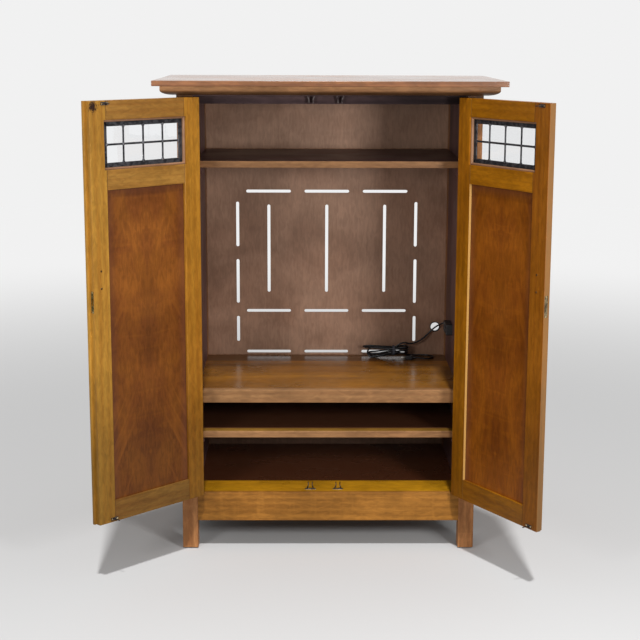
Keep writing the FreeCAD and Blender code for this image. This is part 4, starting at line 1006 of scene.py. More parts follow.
    @classmethod
    def eased(cls, node: str, radius: float, shortest: float = 15.0) -> Mesh:
        """A CAD node's shape with its long sharp edges eased.

        Args:
            node: the CAD node.
            radius: the easing in millimetres.
            shortest: edges shorter than this, in millimetres, stay sharp.

        Returns:
            The mesh.
        """
        mesh = cls.merged(node)
        wanted = [edge for edge in mesh.edges
                  if len(edge.link_faces) == 2 and edge.calc_length() > shortest * MM
                  and edge.calc_face_angle_signed(0.0) > math.radians(cls.eased_from)]
        cls.round_off(mesh, wanted, radius, clamp=False)
        return mesh

    @staticmethod
    def dress(node: str, material: Material) -> None:
        """Give a CAD node its finish."""
        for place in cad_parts[node].material_slots:
            place.material = material


# ---- case ------------------------------------------------------------------------------------
@dataclass
class CaseWork:
    """The case's boards, posts, rails, mouldings and panels."""

    ease: float = 0.8
    edge_depth: float = 2.0
    bead_width: float = 3.5
    bead_ease: float = 1.2
    # Foot and head of each bay of the back that has beads.
    bays: tuple[tuple[float, float], ...] = ((DECK_TOP, 1392.0), (1416.0, 1636.0))

    def boards(self) -> None:
        """Boards and rails whose edges show, with eased edges."""
        rows = (
            ("top_slab", Finishes.top, Grain.X),
            ("front_left_post", Finishes.case_front, Grain.Z),
            ("front_right_post", Finishes.case_front, Grain.Z),
            ("rear_left_post", Finishes.case, Grain.Z),
            ("rear_right_post", Finishes.case, Grain.Z),
            ("front_apron", Finishes.apron, Grain.X),
            ("left_side_rails", Finishes.case, Grain.Y),
            ("right_side_rails", Finishes.case, Grain.Y),
            ("deck_nosing", Finishes.edge, Grain.X),
        )
        for node, finish, grain in rows:
            mesh = Bench.eased(node, self.ease)
            Bench.put(mesh, node + "_wood", Setting.CASE, [finish.material(Setting.CASE, grain)],
                      Slot.CASE_WOOD, [node])
        for node, face in (("top_shelf", Finishes.inside), ("lower_shelf", Finishes.shelf)):
            self.faced_shelf(node, face)

    def faced_shelf(self, node: str, face: Wood) -> None:
        """A shelf with its paler front edge.

        Args:
            node: the CAD node.
            face: the finish of everything but the front edge.
        """
        mesh = Bench.eased(node, self.ease)
        front = min(vert.co.y for vert in mesh.verts)
        for polygon in mesh.faces:
            ahead = polygon.calc_center_median().y < front + self.edge_depth * MM
            polygon.material_index = 1 if ahead and polygon.normal.y < -0.5 else 0
        Bench.put(mesh, node + "_wood", Setting.CASE,
                  [face.material(Setting.CASE, Grain.X),
                   Finishes.lipping.material(Setting.CASE, Grain.X)], Slot.CASE_WOOD, [node])

    def cornice(self) -> None:
        """The moulding, with the grain along each of its lengths."""
        mesh = Bench.merged("cornice_moulding")
        for polygon in mesh.faces:
            middle = polygon.calc_center_median()
            ahead = FRONT * MM - middle.y
            aside = abs(middle.x) - HALF_WIDTH * MM
            polygon.material_index = 1 if aside > ahead else 0
        Bench.put(mesh, "cornice_wood", Setting.CASE,
                  [Finishes.moulding.material(Setting.CASE, Grain.X),
                   Finishes.moulding.material(Setting.CASE, Grain.Y)], Slot.CASE_WOOD,
                  ["cornice_moulding"])

    def panels(self) -> None:
        """Boards that keep their plain shape."""
        rows = (
            ("tv_deck", Finishes.deck, Grain.X),
            ("floor_board", Finishes.floor, Grain.X),
            ("head_rails", Finishes.shaded_header, Grain.X),
            ("ceiling_board", Finishes.inside, Grain.X),
            ("side_liners", Finishes.inside, Grain.Z),
            ("back_panel", Finishes.back, Grain.Z),
            ("left_side_panel", Finishes.case, Grain.Z),
            ("right_side_panel", Finishes.case, Grain.Z),
            ("rear_rails", Finishes.inside, Grain.X),
            ("shelf_cleats", Finishes.inside, Grain.Y),
        )
        for node, finish, grain in rows:
            Bench.dress(node, finish.material(Setting.CASE, grain))
        Bench.dress("cable_hole_ring", Finishes.ring.material())
        Bench.dress("foot_glides", Finishes.glide.material())
        Bench.dress("case_hinge_leaves", Finishes.bronze.material())
        Bench.dress("hinge_pins", Finishes.bronze.material())

    def back_beads(self) -> None:
        """Thin quarter-round beads along the back panel's foot and sides in each bay."""
        width = self.bead_width
        inner = HALF_INSIDE - width
        mesh = bmesh.new()
        for low, high in self.bays:
            runs = [((-HALF_INSIDE, low), (-inner, high)), ((inner, low), (HALF_INSIDE, high)),
                    ((-inner, low), (inner, low + width))]
            for (x0, z0), (x1, z1) in runs:
                Bench.block(mesh, (x0, BACK_FACE - width, z0), (x1, BACK_FACE, z1),
                            self.bead_ease)
        Bench.put(mesh, "back_panel_beads", Setting.CASE,
                  [Finishes.bead.material(Setting.CASE, Grain.Z)], Slot.DARK_VENEER)

    def build(self) -> None:
        """Everything of the case."""
        self.boards()
        self.cornice()
        self.panels()
        self.back_beads()


# ---- doors ------------------------------------------------------------------------------------
@dataclass
class Knob:
    """A square knob with a pyramid face on a tall plate, held by two bolts."""

    x: float = 37.0
    z: float = 1058.5
    plate: Triple = (42.0, 2.2, 92.0)
    plate_ease: float = 0.9
    # Each length of the neck: radius at its start and its end, and length.
    neck: tuple[Triple, ...] = ((10.0, 6.5, 2.0), (6.5, 6.5, 2.0), (6.5, 9.0, 2.2))
    neck_start: float = 2.0
    head_side: float = 28.0
    head_depth: float = 7.0
    head_stand: float = 8.0
    head_ease: float = 1.0
    pyramid_rise: float = 7.0
    pyramid_share: float = 0.25
    bolt_rise: float = 29.0
    bolt_radius: float = 2.5
    bolt_length: float = 33.0
    # A bolt's end inside the door: radius at its foot and its top, and height.
    bolt_end: Triple = (3.6, 2.6, 1.2)

    def head(self, x: float) -> Mesh:
        """The square head, whose face rises to a blunt point.

        Args:
            x: the knob's middle.

        Returns:
            The head.
        """
        mesh = bmesh.new()
        Bench.slab(mesh, (x, FRONT - self.head_stand - self.head_depth / 2, self.z),
                   (self.head_side, self.head_depth, self.head_side))
        face = min(mesh.faces, key=lambda item: item.calc_center_median().y)
        tip = bmesh.ops.extrude_discrete_faces(mesh, faces=[face])["faces"][0]
        bmesh.ops.translate(mesh, vec=(0.0, -self.pyramid_rise * MM, 0.0), verts=tip.verts)
        bmesh.ops.scale(mesh, vec=(self.pyramid_share, 1.0, self.pyramid_share),
                        space=Matrix.Translation(-tip.calc_center_median()), verts=tip.verts)
        Bench.round_off(mesh, mesh.edges, self.head_ease, 3)
        return mesh

    def build(self, setting: Setting) -> None:
        """The knob of one door.

        Args:
            setting: the door.
        """
        x = setting.side * self.x
        mesh = bmesh.new()
        Bench.slab(mesh, (x, FRONT - self.plate[1] / 2, self.z), self.plate, self.plate_ease, 3)
        out = Vector((0.0, -1.0, 0.0))
        at = Vector((x, FRONT - self.neck_start, self.z)) * MM
        for start, end, length in self.neck:
            Bench.disc(mesh, start, length, at, out, 32, end)
            at = at + out * length * MM
        Bench.join(mesh, self.head(x))
        foot, top, height = self.bolt_end
        for rise in (-self.bolt_rise, self.bolt_rise):
            inside = Vector((x, DOOR_INSIDE, self.z + rise)) * MM
            Bench.disc(mesh, self.bolt_radius, self.bolt_length,
                       inside + out * self.bolt_length * MM, -out, 16)
            Bench.disc(mesh, foot, height, inside, -out, end=top)
        Bench.put(mesh, setting.body + "_pyramid_knob", setting, [Finishes.bronze.material()],
                  Slot.BRONZE, [setting.body + "_knob"])


@dataclass
class Door:
    """One door: its frame, veneered panel, leaded light, glass stops and knob."""

    setting: Setting
    hinge_wood: Wood
    meeting_wood: Wood
    rail_wood: Wood
    panel_wood: Veneer
    stile_ease: float = 0.9
    rail_ease: float = 0.5
    opening_near: float = 71.0
    opening_far: float = 406.0
    window_low: float = 1427.0
    window_high: float = 1574.0
    rebate: float = 8.0
    came_front: float = -319.0
    came_thick: float = 6.0
    came_ease: float = 1.8
    border: float = 22.0
    bar: float = 7.0
    bar_ease: float = 2.6
    bar_overlap: float = 2.0
    pitch: float = 84.0
    lights: tuple[int, int] = (4, 2)
    # A solder joint: radius, how flat it is and how deep it sits in the came.
    joint: Triple = (5.2, 0.24, 0.5)
    stop_width: float = 7.0
    stop_depth: float = 8.0
    stop_round: float = 4.0
    key_plate_ease: float = 0.5
    key_plate_shortest: float = 10.0

    @property
    def name(self) -> str:
        """The door's name, which its pieces start with."""
        return self.setting.body

    def glazing(self) -> tuple[float, float, float, float]:
        """Left, right, low and high edges of the glass in its rebate."""
        near, far = self.opening_near - self.rebate, self.opening_far + self.rebate
        left, right = (near, far) if self.setting.side > 0 else (-far, -near)
        return left, right, self.window_low - self.rebate, self.window_high + self.rebate

    def woodwork(self) -> None:
        """Stiles, rails and panel."""
        for part, wood, grain, ease in (
                ("hinge_stile", self.hinge_wood, Grain.Z, self.stile_ease),
                ("meeting_stile", self.meeting_wood, Grain.Z, self.stile_ease),
                ("rails", self.rail_wood, Grain.X, self.rail_ease)):
            node = "%s_%s" % (self.name, part)
            Bench.put(Bench.eased(node, ease), node + "_wood", self.setting,
                      [wood.material(self.setting, grain)], Slot.DOOR_WOOD, [node], closed=False)
        Bench.dress(self.name + "_panel", self.panel_wood.material(self.setting, Grain.Z))

    def leaded_light(self) -> None:
        """Rounded lead cames with a solder joint wherever two meet."""
        left, right, low, high = self.glazing()
        near, far = self.came_front, self.came_front + self.came_thick
        across, up = self.lights
        inner_left, inner_right = left + self.border, right - self.border
        inner_low, inner_high = low + self.border, high - self.border
        columns = self.bars((left + right) / 2, across)
        rows = self.bars((low + high) / 2, up)
        half = self.bar / 2
        mesh = bmesh.new()
        for z0, z1 in ((low, inner_low), (inner_high, high)):
            Bench.block(mesh, (left, near, z0), (right, far, z1), self.came_ease, 3)
        for x0, x1 in ((left, inner_left), (inner_right, right)):
            Bench.block(mesh, (x0, near, low), (x1, far, high), self.came_ease, 3)
        for x in columns:
            Bench.block(mesh, (x - half, near, inner_low - self.bar_overlap),
                        (x + half, far, inner_high + self.bar_overlap), self.bar_ease, 4)
        for z in rows:
            Bench.block(mesh, (inner_left - self.bar_overlap, near, z - half),
                        (inner_right + self.bar_overlap, far, z + half), self.bar_ease, 4)
        crossings = [(x, z) for x in columns for z in [inner_low, inner_high] + rows]
        crossings += [(x, z) for x in (inner_left, inner_right) for z in rows]
        sink = self.joint[2]
        for x, z in crossings:
            for y in (near + sink, far - sink):
                self.solder(mesh, x, y, z)
        Bench.put(mesh, self.name + "_lead_cames", self.setting,
                  [Finishes.came.material(), Finishes.solder.material()], Slot.LEAD,
                  [self.name + "_lead_lattice"])
        Bench.dress(self.name + "_glass_panes", Finishes.glass.material())

    def bars(self, middle: float, lights: int) -> list[float]:
        """Middles of the bars between a number of lights, evenly spaced round a middle."""
        return [middle + (number - lights / 2) * self.pitch for number in range(1, lights)]

    def solder(self, mesh: Mesh, x: float, y: float, z: float) -> None:
        """Add a flattened blob of solder.

        Args:
            mesh: the mesh to add to.
            x, y, z: its middle in millimetres.
        """
        radius, flat, _ = self.joint
        matrix = Matrix.Translation(Vector((x, y, z)) * MM) @ Matrix.Diagonal((1.0, flat, 1.0, 1.0))
        made = bmesh.ops.create_icosphere(mesh, subdivisions=2, radius=radius * MM, matrix=matrix)
        for face in {face for vert in made["verts"] for face in vert.link_faces}:
            face.material_index = 1

    def glass_stops(self) -> None:
        """Four mitred beads with a rounded inner arris."""
        left, right, low, high = self.glazing()
        start = self.came_front + self.came_thick
        middle = Vector(((left + right) / 2, start, (low + high) / 2))
        wide, tall = (right - left) / 2, (high - low) / 2
        for name, grain, lengths, turns in (("level", Grain.X, (wide, tall), (0, 180)),
                                            ("upright", Grain.Z, (tall, wide), (90, 270))):
            mesh = bmesh.new()
            for turn in turns:
                part = self.bead(*lengths)
                rotation = Matrix.Rotation(math.radians(turn), 4, "Y")
                bmesh.ops.transform(part, matrix=Matrix.Translation(middle * MM) @ rotation,
                                    verts=part.verts)
                Bench.join(mesh, part)
            Bench.put(mesh, "%s_%s_glass_stops" % (self.name, name), self.setting,
                      [Finishes.stops.material(self.setting, grain)], Slot.DOOR_WOOD,
                      [self.name + "_glass_stops"])

    def bead(self, reach: float, foot: float) -> Mesh:
        """A bead under the middle of the window.

        Args:
            reach: half its length.
            foot: how far its outer edge lies below the window's middle.

        Returns:
            The bead, round the window's middle.
        """
        mesh = bmesh.new()
        Bench.block(mesh, (-reach, 0.0, -foot), (reach, self.stop_depth, -foot + self.stop_width))
        inner = Vector((self.stop_depth / 2, self.stop_width / 2 - foot)) * MM
        arris = next(edge for edge in mesh.edges
                     if all(vert.co.y > inner.x and vert.co.z > inner.y for vert in edge.verts))
        Bench.round_off(mesh, [arris], self.stop_round, 5)
        for side in (-1.0, 1.0):
            corner = Vector((side * reach, 0.0, -foot)) * MM
            rim = Bench.split(mesh, corner, Vector((side, 0.0, 1.0)).normalized(), clear=True)
            bmesh.ops.holes_fill(mesh, edges=[item for item in rim
                                              if isinstance(item, bmesh.types.BMEdge)])
        return mesh

    def hardware(self) -> None:
        """Hinge leaves and what belongs to the lock on this door."""
        Bench.dress(self.name + "_hinge_leaves", Finishes.bronze.material())
        if self.setting is Setting.LEFT:
            Bench.dress("left_door_lock_keeper", Finishes.keeper.material())
            return
        Bench.dress("right_door_lock", Finishes.brass.material())
        Bench.dress("right_door_deadbolt", Finishes.brass.material())
        plate = Bench.eased("right_door_escutcheon", self.key_plate_ease, self.key_plate_shortest)
        Bench.put(plate, "right_door_key_plate", self.setting, [Finishes.bronze.material()],
                  Slot.BRONZE, ["right_door_escutcheon"], closed=False)

    def build(self) -> None:
        """Everything of the door."""
        self.woodwork()
        self.leaded_light()
        self.glass_stops()
        Knob().build(self.setting)
        self.hardware()


# ---- catches ----------------------------------------------------------------------------------
@dataclass
class Catches:
    """Sprung catches on the case and their strikes on the doors."""

    centre: float = -15.0
    spread: float = 51.0
    front: float = DOOR_INSIDE + 11.0
    depth: float = 12.0
    base: tuple[float, float] = (38.0, 1.5)
    ease: float = 0.4
    # The prong's outer face: off the catch's middle and over its base.
    profile: tuple[tuple[float, float], ...] = ((10.6, 0.2), (9.9, 3.0), (8.0, 6.4), (6.3, 9.4),
                                                (5.6, 12.5), (5.5, 17.0), (5.7, 21.5), (6.3, 24.8))
    strip: float = 3.0
    strike_from: float = 12.5
    strike: Triple = (30.0, 1.5, 11.0)
    # The tongue's side: off its middle and out from the door.
    tongue: tuple[tuple[float, float], ...] = ((1.2, 1.4), (1.2, 23.0), (2.4, 25.5), (0.8, 28.0))
    tongue_height: float = 3.0
    tongue_ease: float = 0.3

    def places(self, side: int) -> list[tuple[float, float, int]]:
        """Middle, surface and way up of the two catches of a door."""
        x = self.centre + side * self.spread
        return [(x, FLOOR_TOP, 1), (x, HEAD_RAIL_BOTTOM, -1)]

    def prong(self, mesh: Mesh, x: float, z: float, way: int, up: int) -> None:
        """A bent spring strip.

        Args:
            mesh: the mesh to add to.
            x: middle of the catch.
            z: top of its base plate.
            way: -1 for the left prong, +1 for the right.
            up: +1 on the floor, -1 under the head rail.
        """
        bent = bmesh.new()
        verts = [bent.verts.new(Vector((x + way * off, self.front, z + up * rise)) * MM)
                 for off, rise in self.profile]
        edges = [bent.edges.new(pair) for pair in zip(verts, verts[1:])]
        made = bmesh.ops.extrude_edge_only(bent, edges=edges)["geom"]
        bmesh.ops.translate(bent, vec=(0.0, self.depth * MM, 0.0), verts=Bench.new_verts(made))
        bmesh.ops.recalc_face_normals(bent, faces=bent.faces[:])
        outward = sum(face.normal.x * way for face in bent.faces) > 0
        bmesh.ops.solidify(bent, geom=bent.faces[:],
                           thickness=(-1 if outward else 1) * self.strip * MM)
        bmesh.ops.recalc_face_normals(bent, faces=bent.faces[:])
        Bench.join(mesh, bent, 1)

    def catches(self) -> None:
        """The four catches on the case."""
        mesh = bmesh.new()
        wide, thick = self.base
        for side in (-1, 1):
            for x, surface, up in self.places(side):
                top = surface + up * thick
                Bench.slab(mesh, (x, self.front + self.depth / 2, (surface + top) / 2),
                           (wide, self.depth, thick), self.ease)
                for way in (-1, 1):
                    self.prong(mesh, x, top, way, up)
        Bench.put(mesh, "spring_catches", Setting.CASE,
                  [Finishes.nickel.material(), Finishes.steel.material()], Slot.STEEL,
                  ["door_catches"])

    def arrow(self, x: float, z: float) -> Mesh:
        """A strike's arrow-headed tongue.

        Args:
            x, z: the middle of its plate.

        Returns:
            The tongue.
        """
        mesh = bmesh.new()
        sides = [(x + off, DOOR_INSIDE + out) for off, out in self.tongue]
        sides += [(x - off, DOOR_INSIDE + out) for off, out in reversed(self.tongue)]
        face = mesh.faces.new([mesh.verts.new(Vector((*side, z - self.tongue_height / 2)) * MM)
                               for side in sides])
        made = bmesh.ops.extrude_face_region(mesh, geom=[face])["geom"]
        bmesh.ops.translate(mesh, vec=(0.0, 0.0, self.tongue_height * MM),
                            verts=Bench.new_verts(made))
        bmesh.ops.recalc_face_normals(mesh, faces=mesh.faces[:])
        Bench.round_off(mesh, mesh.edges, self.tongue_ease)
        return mesh

    def strikes(self, setting: Setting) -> None:
        """A door's two plates, each with its tongue.

        Args:
            setting: the door.
        """
        mesh = bmesh.new()
        for x, surface, up in self.places(setting.side):
            z = surface + up * self.strike_from
            Bench.slab(mesh, (x, DOOR_INSIDE + self.strike[1] / 2, z), self.strike, self.ease)
            Bench.join(mesh, self.arrow(x, z))
        Bench.put(mesh, setting.body + "_arrow_strikes", setting, [Finishes.steel.material()],
                  Slot.STEEL, [setting.body + "_catch_strikes"])

    def build(self) -> None:
        """Catches and strikes."""
        self.catches()
        self.strikes(Setting.LEFT)
        self.strikes(Setting.RIGHT)


# ---- screws -----------------------------------------------------------------------------------
@dataclass
class Screws:
    """Slotted countersunk screws."""

    head: float = 3.2
    shank: float = 1.6
    taper: float = 0.75
    sink: float = 1.5
    proud: float = 0.08
    slot_half: float = 0.4
    slot_depth: float = 0.6
    slot_turn: float = 47.0
    long: float = 16.0
    short: float = 10.0
    # A leaf's screws: back from the front and up from the leaf's middle.
    leaf: tuple[tuple[float, float], ...] = ((9.0, -27.0), (17.0, 0.0), (9.0, 27.0))
    leaf_sunk: float = 0.4
    # How far the screws of a base plate, a strike and a lock plate are off their middle.
    base_off: float = 16.3
    strike_off: float = 11.0
    lock_off: float = 33.0
    # The doors' meeting edges: their middle, and how far each lies off it.
    meeting: tuple[float, float] = (-4.0, 0.75)

    def one(self, mesh: Mesh, at: Triple, way: Triple, length: float, turn: float) -> None:
        """Add a screw.

        Args:
            mesh: the mesh to add to.
            at: the middle of its head, in millimetres.
            way: the direction that it is driven in.
            length: its length in millimetres.
            turn: how its slot is turned, in degrees.
        """
        part = bmesh.new()
        bmesh.ops.create_circle(part, cap_ends=True, segments=20, radius=self.head * MM)
        for side in (-1.0, 1.0):
            out = Vector((side, 0.0, 0.0))
            Bench.split(part, out * self.slot_half * MM, out)
        rim = [edge for edge in part.edges if edge.is_boundary]
        middle = min(part.faces, key=lambda face: abs(face.calc_center_median().x))
        for face in part.faces:
            if face.normal.z < 0:
                face.normal_flip()
        for drop, radius in ((self.sink, self.shank), (length, self.shank * self.taper)):
            made = bmesh.ops.extrude_edge_only(part, edges=rim)["geom"]
            verts = Bench.new_verts(made)
            rim = [item for item in made if isinstance(item, bmesh.types.BMEdge)
                   and all(vert in verts for vert in item.verts)]
            for vert in verts:
                flat = Vector((vert.co.x, vert.co.y, 0.0)).normalized() * radius * MM
                vert.co = flat - Vector((0.0, 0.0, drop * MM))
        bmesh.ops.holes_fill(part, edges=rim)
        slot = bmesh.ops.extrude_face_region(part, geom=[middle])["geom"]
        bmesh.ops.translate(part, vec=(0.0, 0.0, -self.slot_depth * MM),
                            verts=Bench.new_verts(slot))
        bmesh.ops.delete(part, geom=[middle], context="FACES_ONLY")
        bmesh.ops.recalc_face_normals(part, faces=part.faces[:])
        out = -Vector(way)
        lifted = Vector(at) * MM + out * self.proud * MM
        matrix = (Matrix.Translation(lifted) @ Bench.aim(out)
                  @ Matrix.Rotation(math.radians(turn), 4, "Z"))
        bmesh.ops.transform(part, matrix=matrix, verts=part.verts)
        Bench.join(mesh, part)

    def leaf_rows(self, face: float, side: int, way: float) -> list[tuple[Triple, Triple, float]]:
        """The long screws of one edge's leaves."""
        return [((side * face, FRONT + back, level + rise), (side * way, 0.0, 0.0), self.long)
                for level in HINGE_LEVELS for back, rise in self.leaf]

    def case_rows(self, catches: Catches) -> list[tuple[Triple, Triple, float]]:
        """Every screw of the case.

        Args:
            catches: the catches that it holds.

        Returns:
            Each screw's place, direction and length.
        """
        rows = []
        for side in (-1, 1):
            rows += self.leaf_rows(HALF_INSIDE - self.leaf_sunk, side, 1.0)
            for x, surface, up in catches.places(side):
                top = surface + up * catches.base[1]
                rows += [((x + way * self.base_off, catches.front + catches.depth / 2, top),
                          (0.0, 0.0, -float(up)), self.short) for way in (-1, 1)]
        return rows

    def door_rows(self, setting: Setting, catches: Catches) -> list[tuple[Triple, Triple, float]]:
        """Every screw of a closed door.

        Args:
            setting: the door.
            catches: the catches whose strikes it holds.

        Returns:
            Each screw's place, direction and length.
        """
        side = setting.side
        rows = self.leaf_rows(HINGE_EDGE + self.leaf_sunk, side, -1.0)
        for x, surface, up in catches.places(side):
            z = surface + up * catches.strike_from
            rows += [((x + way * self.strike_off, DOOR_INSIDE + catches.strike[1], z),
                      (0.0, -1.0, 0.0), self.short) for way in (-1, 1)]
        middle, gap = self.meeting
        rows += [((middle + side * gap, LOCK_Y, LOCK_Z + rise), (float(side), 0.0, 0.0),
                  self.short) for rise in (-self.lock_off, self.lock_off)]
        return rows

    def build(self, catches: Catches) -> None:
        """The screws of all three bodies.

        Args:
            catches: the catches and strikes that they hold.
        """
        for setting, node, rows in (
                (Setting.CASE, "case_screws", self.case_rows(catches)),
                (Setting.LEFT, "left_door_screws", self.door_rows(Setting.LEFT, catches)),
                (Setting.RIGHT, "right_door_screws", self.door_rows(Setting.RIGHT, catches))):
            mesh = bmesh.new()
            for number, (at, way, length) in enumerate(rows):
                self.one(mesh, at, way, length, number * self.slot_turn)
            Bench.put(mesh, setting.body + "_slotted_screws", setting,
                      [Finishes.screws.material()], Slot.SCREWS, [node])


# ---- power ------------------------------------------------------------------------------------
@dataclass(frozen=True)
class Relief:
    """A conical strain relief with ribs, which may grow or shrink from one to the next."""

    radius: float
    end_radius: float
    length: float
    ribs: int
    rib_radius: float
    rib_growth: float
    rib_start: float
    rib_pitch: float
    rib_width: float

    def add(self, mesh: Mesh, start: Vector, way: Vector) -> None:
        """Add the relief to a mesh.

        Args:
            mesh: the mesh to add to.
            start: the middle of its start, in millimetres.
            way: its unit direction.
        """
        Bench.disc(mesh, self.radius, self.length, start * MM, way, end=self.end_radius)
        for number in range(self.ribs):
            at = start + way * (self.rib_start + number * self.rib_pitch)
            Bench.disc(mesh, self.rib_radius + number * self.rib_growth, self.rib_width, at * MM,
                       way)


@dataclass
class PowerLead:
    """The power box with its lead, folded in a tied hank, and the plug."""

    diameter: float = 6.6
    length: float = 2.05
    box_relief: Relief = Relief(radius=6.5, end_radius=3.9, length=30.0, ribs=5, rib_radius=6.6,
                                rib_growth=-0.42, rib_start=4.0, rib_pitch=5.0, rib_width=2.4)
    plug_relief: Relief = Relief(radius=3.9, end_radius=6.4, length=16.0, ribs=4, rib_radius=5.0,
                                 rib_growth=0.55, rib_start=2.5, rib_pitch=3.2, rib_width=1.6)
    plug_body: Triple = (28.0, 24.0, 17.0)
    plug_ease: float = 3.0
    # The raised grip on the plug, and how far along the plug it starts.
    grip: Triple = (14.0, 16.0, 0.5)
    grip_from: float = 8.0
    grip_ease: float = 0.2
    pin: Triple = (16.0, 1.5, 6.3)
    pins_apart: float = 12.7
    pin_ease: float = 0.5
    box_ease: float = 0.6
    feed: tuple[Triple, ...] = (
        (12.0, 475.0, 163.0), (11.7, 512.0, 161.0), (11.5, 545.0, 155.5), (12.0, 574.0, 148.0),
        (16.0, 601.0, 139.0), (25.5, 623.0, 129.5), (41.5, 634.0, 117.0), (62.0, 635.0, 97.5),
        (78.5, 631.0, 80.5), (94.5, 627.0, 68.5), (111.5, 622.0, 60.0), (127.5, 618.0, 55.5),
        (143.5, 614.0, 53.5))
    tail: tuple[Triple, ...] = (
        (143.5, 629.0, 5.6), (122.5, 633.0, 3.9), (100.5, 634.4, 3.6), (70.6, 634.0, 3.6),
        (49.5, 612.9, 3.6), (49.5, 583.1, 3.6), (70.6, 562.0, 3.9), (97.5, 561.0, 6.0),
        (119.5, 561.0, 8.6))
    tie_x: float = 270.0
    # The band's middle depth and height over the deck, then its width, depth and height.
    tie_middle: tuple[float, float] = (280.0, 27.75)
    tie_size: Triple = (9.0, 30.0, 39.5)
    tie_round: float = 12.0
    tie_thick: float = 1.3
    tie_grip: float = 8.0
    hump: tuple[Triple, ...] = ((316.0, 279.0, 60.5), (298.0, 277.0, 57.0), (284.0, 279.0, 47.0))
    drop: Triple = (302.0, 283.0, 14.0)
    # How far each strand has opened out where its fold starts, in degrees: left, right.
    opening: tuple[float, float] = (15.0, 35.0)
    fold_points: int = 9
    # Each strand's depth and height over the deck where it passes the tie.
    strands: tuple[tuple[float, float], ...] = (
        (280.0, 42.0), (290.0, 36.0), (273.0, 36.0), (279.0, 13.0), (285.0, 22.5), (272.0, 19.0),
        (283.0, 31.0), (270.0, 28.0))
    # Each fold's far end, then depth and height of the two strands that it joins.
    folds: tuple[tuple[float, tuple[float, float], tuple[float, float]], ...] = (
        (148.5, (261.0, 51.0), (301.0, 36.0)), (330.5, (303.0, 42.0), (260.4, 42.0)),
        (165.0, (288.5, 37.0), (262.5, 3.6)), (327.0, (260.4, 20.5), (303.0, 20.5)),
        (174.0, (301.5, 9.0), (258.7, 9.6)), (329.0, (260.4, 31.0), (303.0, 31.0)),
        (170.0, (308.0, 17.0), (265.5, 16.0)))

    @staticmethod
    def point(place: Triple) -> Vector:
        """A route point, from wall, setback and height over the deck, in the part's axes."""
        aside, back, up = place
        return Vector((HALF_INSIDE - aside, FRONT + back, DECK_TOP + up))

    def fold(self, end: float, start: tuple[float, float],
             finish: tuple[float, float]) -> list[Vector]:
        """Control points of one fold of the hank.

        Args:
            end: how far it reaches along the hank.
            start: depth and height of the strand that comes in.
            finish: those of the strand that goes out.

        Returns:
            Points round the fold.
        """
        first, last = Vector(start), Vector(finish)
        middle = (first + last) / 2
        radius = (first - last).length / 2
        way = 1.0 if end > self.tie_x else -1.0
        opened = self.opening[way > 0.0]
        points = []
        for number in range(self.fold_points):
            share = number / (self.fold_points - 1)
            angle = math.radians(share * (180.0 + 2.0 * opened) - opened)
            across = middle + (first - middle) * math.cos(angle)
            along = end - way * radius * (1.0 - math.sin(angle))
            points.append(Vector((along, across.x, DECK_TOP + across.y)))
        return points

    def route(self) -> list[Vector]:
        """Every control point of the lead, from its strain relief to its plug.

        Returns:
            The points, in millimetres.
        """
        deck = Vector((0.0, 0.0, DECK_TOP))
        points = [self.point(place) for place in self.feed]
        points += [Vector(place) + deck for place in self.hump]
        heading = -1.0
        for number, (depth, height) in enumerate(self.strands):
            points += [Vector((self.tie_x + way * heading * self.tie_grip, depth, height)) + deck
                       for way in (-1.0, 1.0)]
            if number < len(self.folds):
                points += self.fold(*self.folds[number])
            heading = -heading
        return points + [Vector(self.drop) + deck] + [self.point(place) for place in self.tail]

    def lead(self) -> bpy.types.Object:
        """The lead on one smooth line.

        Returns:
            The piece.
        """
        points = self.route()
        data = bpy.data.curves.new("power_lead_cord", "CURVE")
        data.dimensions = "3D"
        spline = data.splines.new("NURBS")
        spline.points.add(len(points) - 1)
        for place, point in zip(spline.points, points):
            place.co = (*(point * MM), 1.0)
        spline.order_u = 3
        spline.use_endpoint_u = True
        spline.resolution_u = 6
        data.bevel_depth = self.diameter * MM / 2
        data.bevel_resolution = 3
        data.use_fill_caps = True
        data.materials.append(Finishes.rubber.material())
        cord = bpy.data.objects.new("power_lead_cord", data)
        bpy.context.scene.collection.objects.link(cord)
        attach(cord, Setting.CASE.body)
        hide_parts("power_lead", "power_lead_hank")
        log.info("power_lead_cord: %d control points", len(points))
        return cord

    def tie(self) -> bpy.types.Object:
        """The band round the hank.

        Returns:
            The piece.
        """
        mesh = bmesh.new()
        depth, height = self.tie_middle
        Bench.slab(mesh, (self.tie_x, depth, DECK_TOP + height), self.tie_size)
        long_edges = [edge for edge in mesh.edges
                      if abs(edge.verts[0].co.x - edge.verts[1].co.x) > MM]
        Bench.round_off(mesh, long_edges, self.tie_round, 6)
        ends = [face for face in mesh.faces if abs(face.normal.x) > 0.9]
        bmesh.ops.delete(mesh, geom=ends, context="FACES_ONLY")
        bmesh.ops.solidify(mesh, geom=mesh.faces[:], thickness=self.tie_thick * MM)
        bmesh.ops.recalc_face_normals(mesh, faces=mesh.faces[:])
        return Bench.put(mesh, "power_lead_tie_band", Setting.CASE, [Finishes.tie.material()],
                         Slot.RUBBER, ["power_lead_tie"])

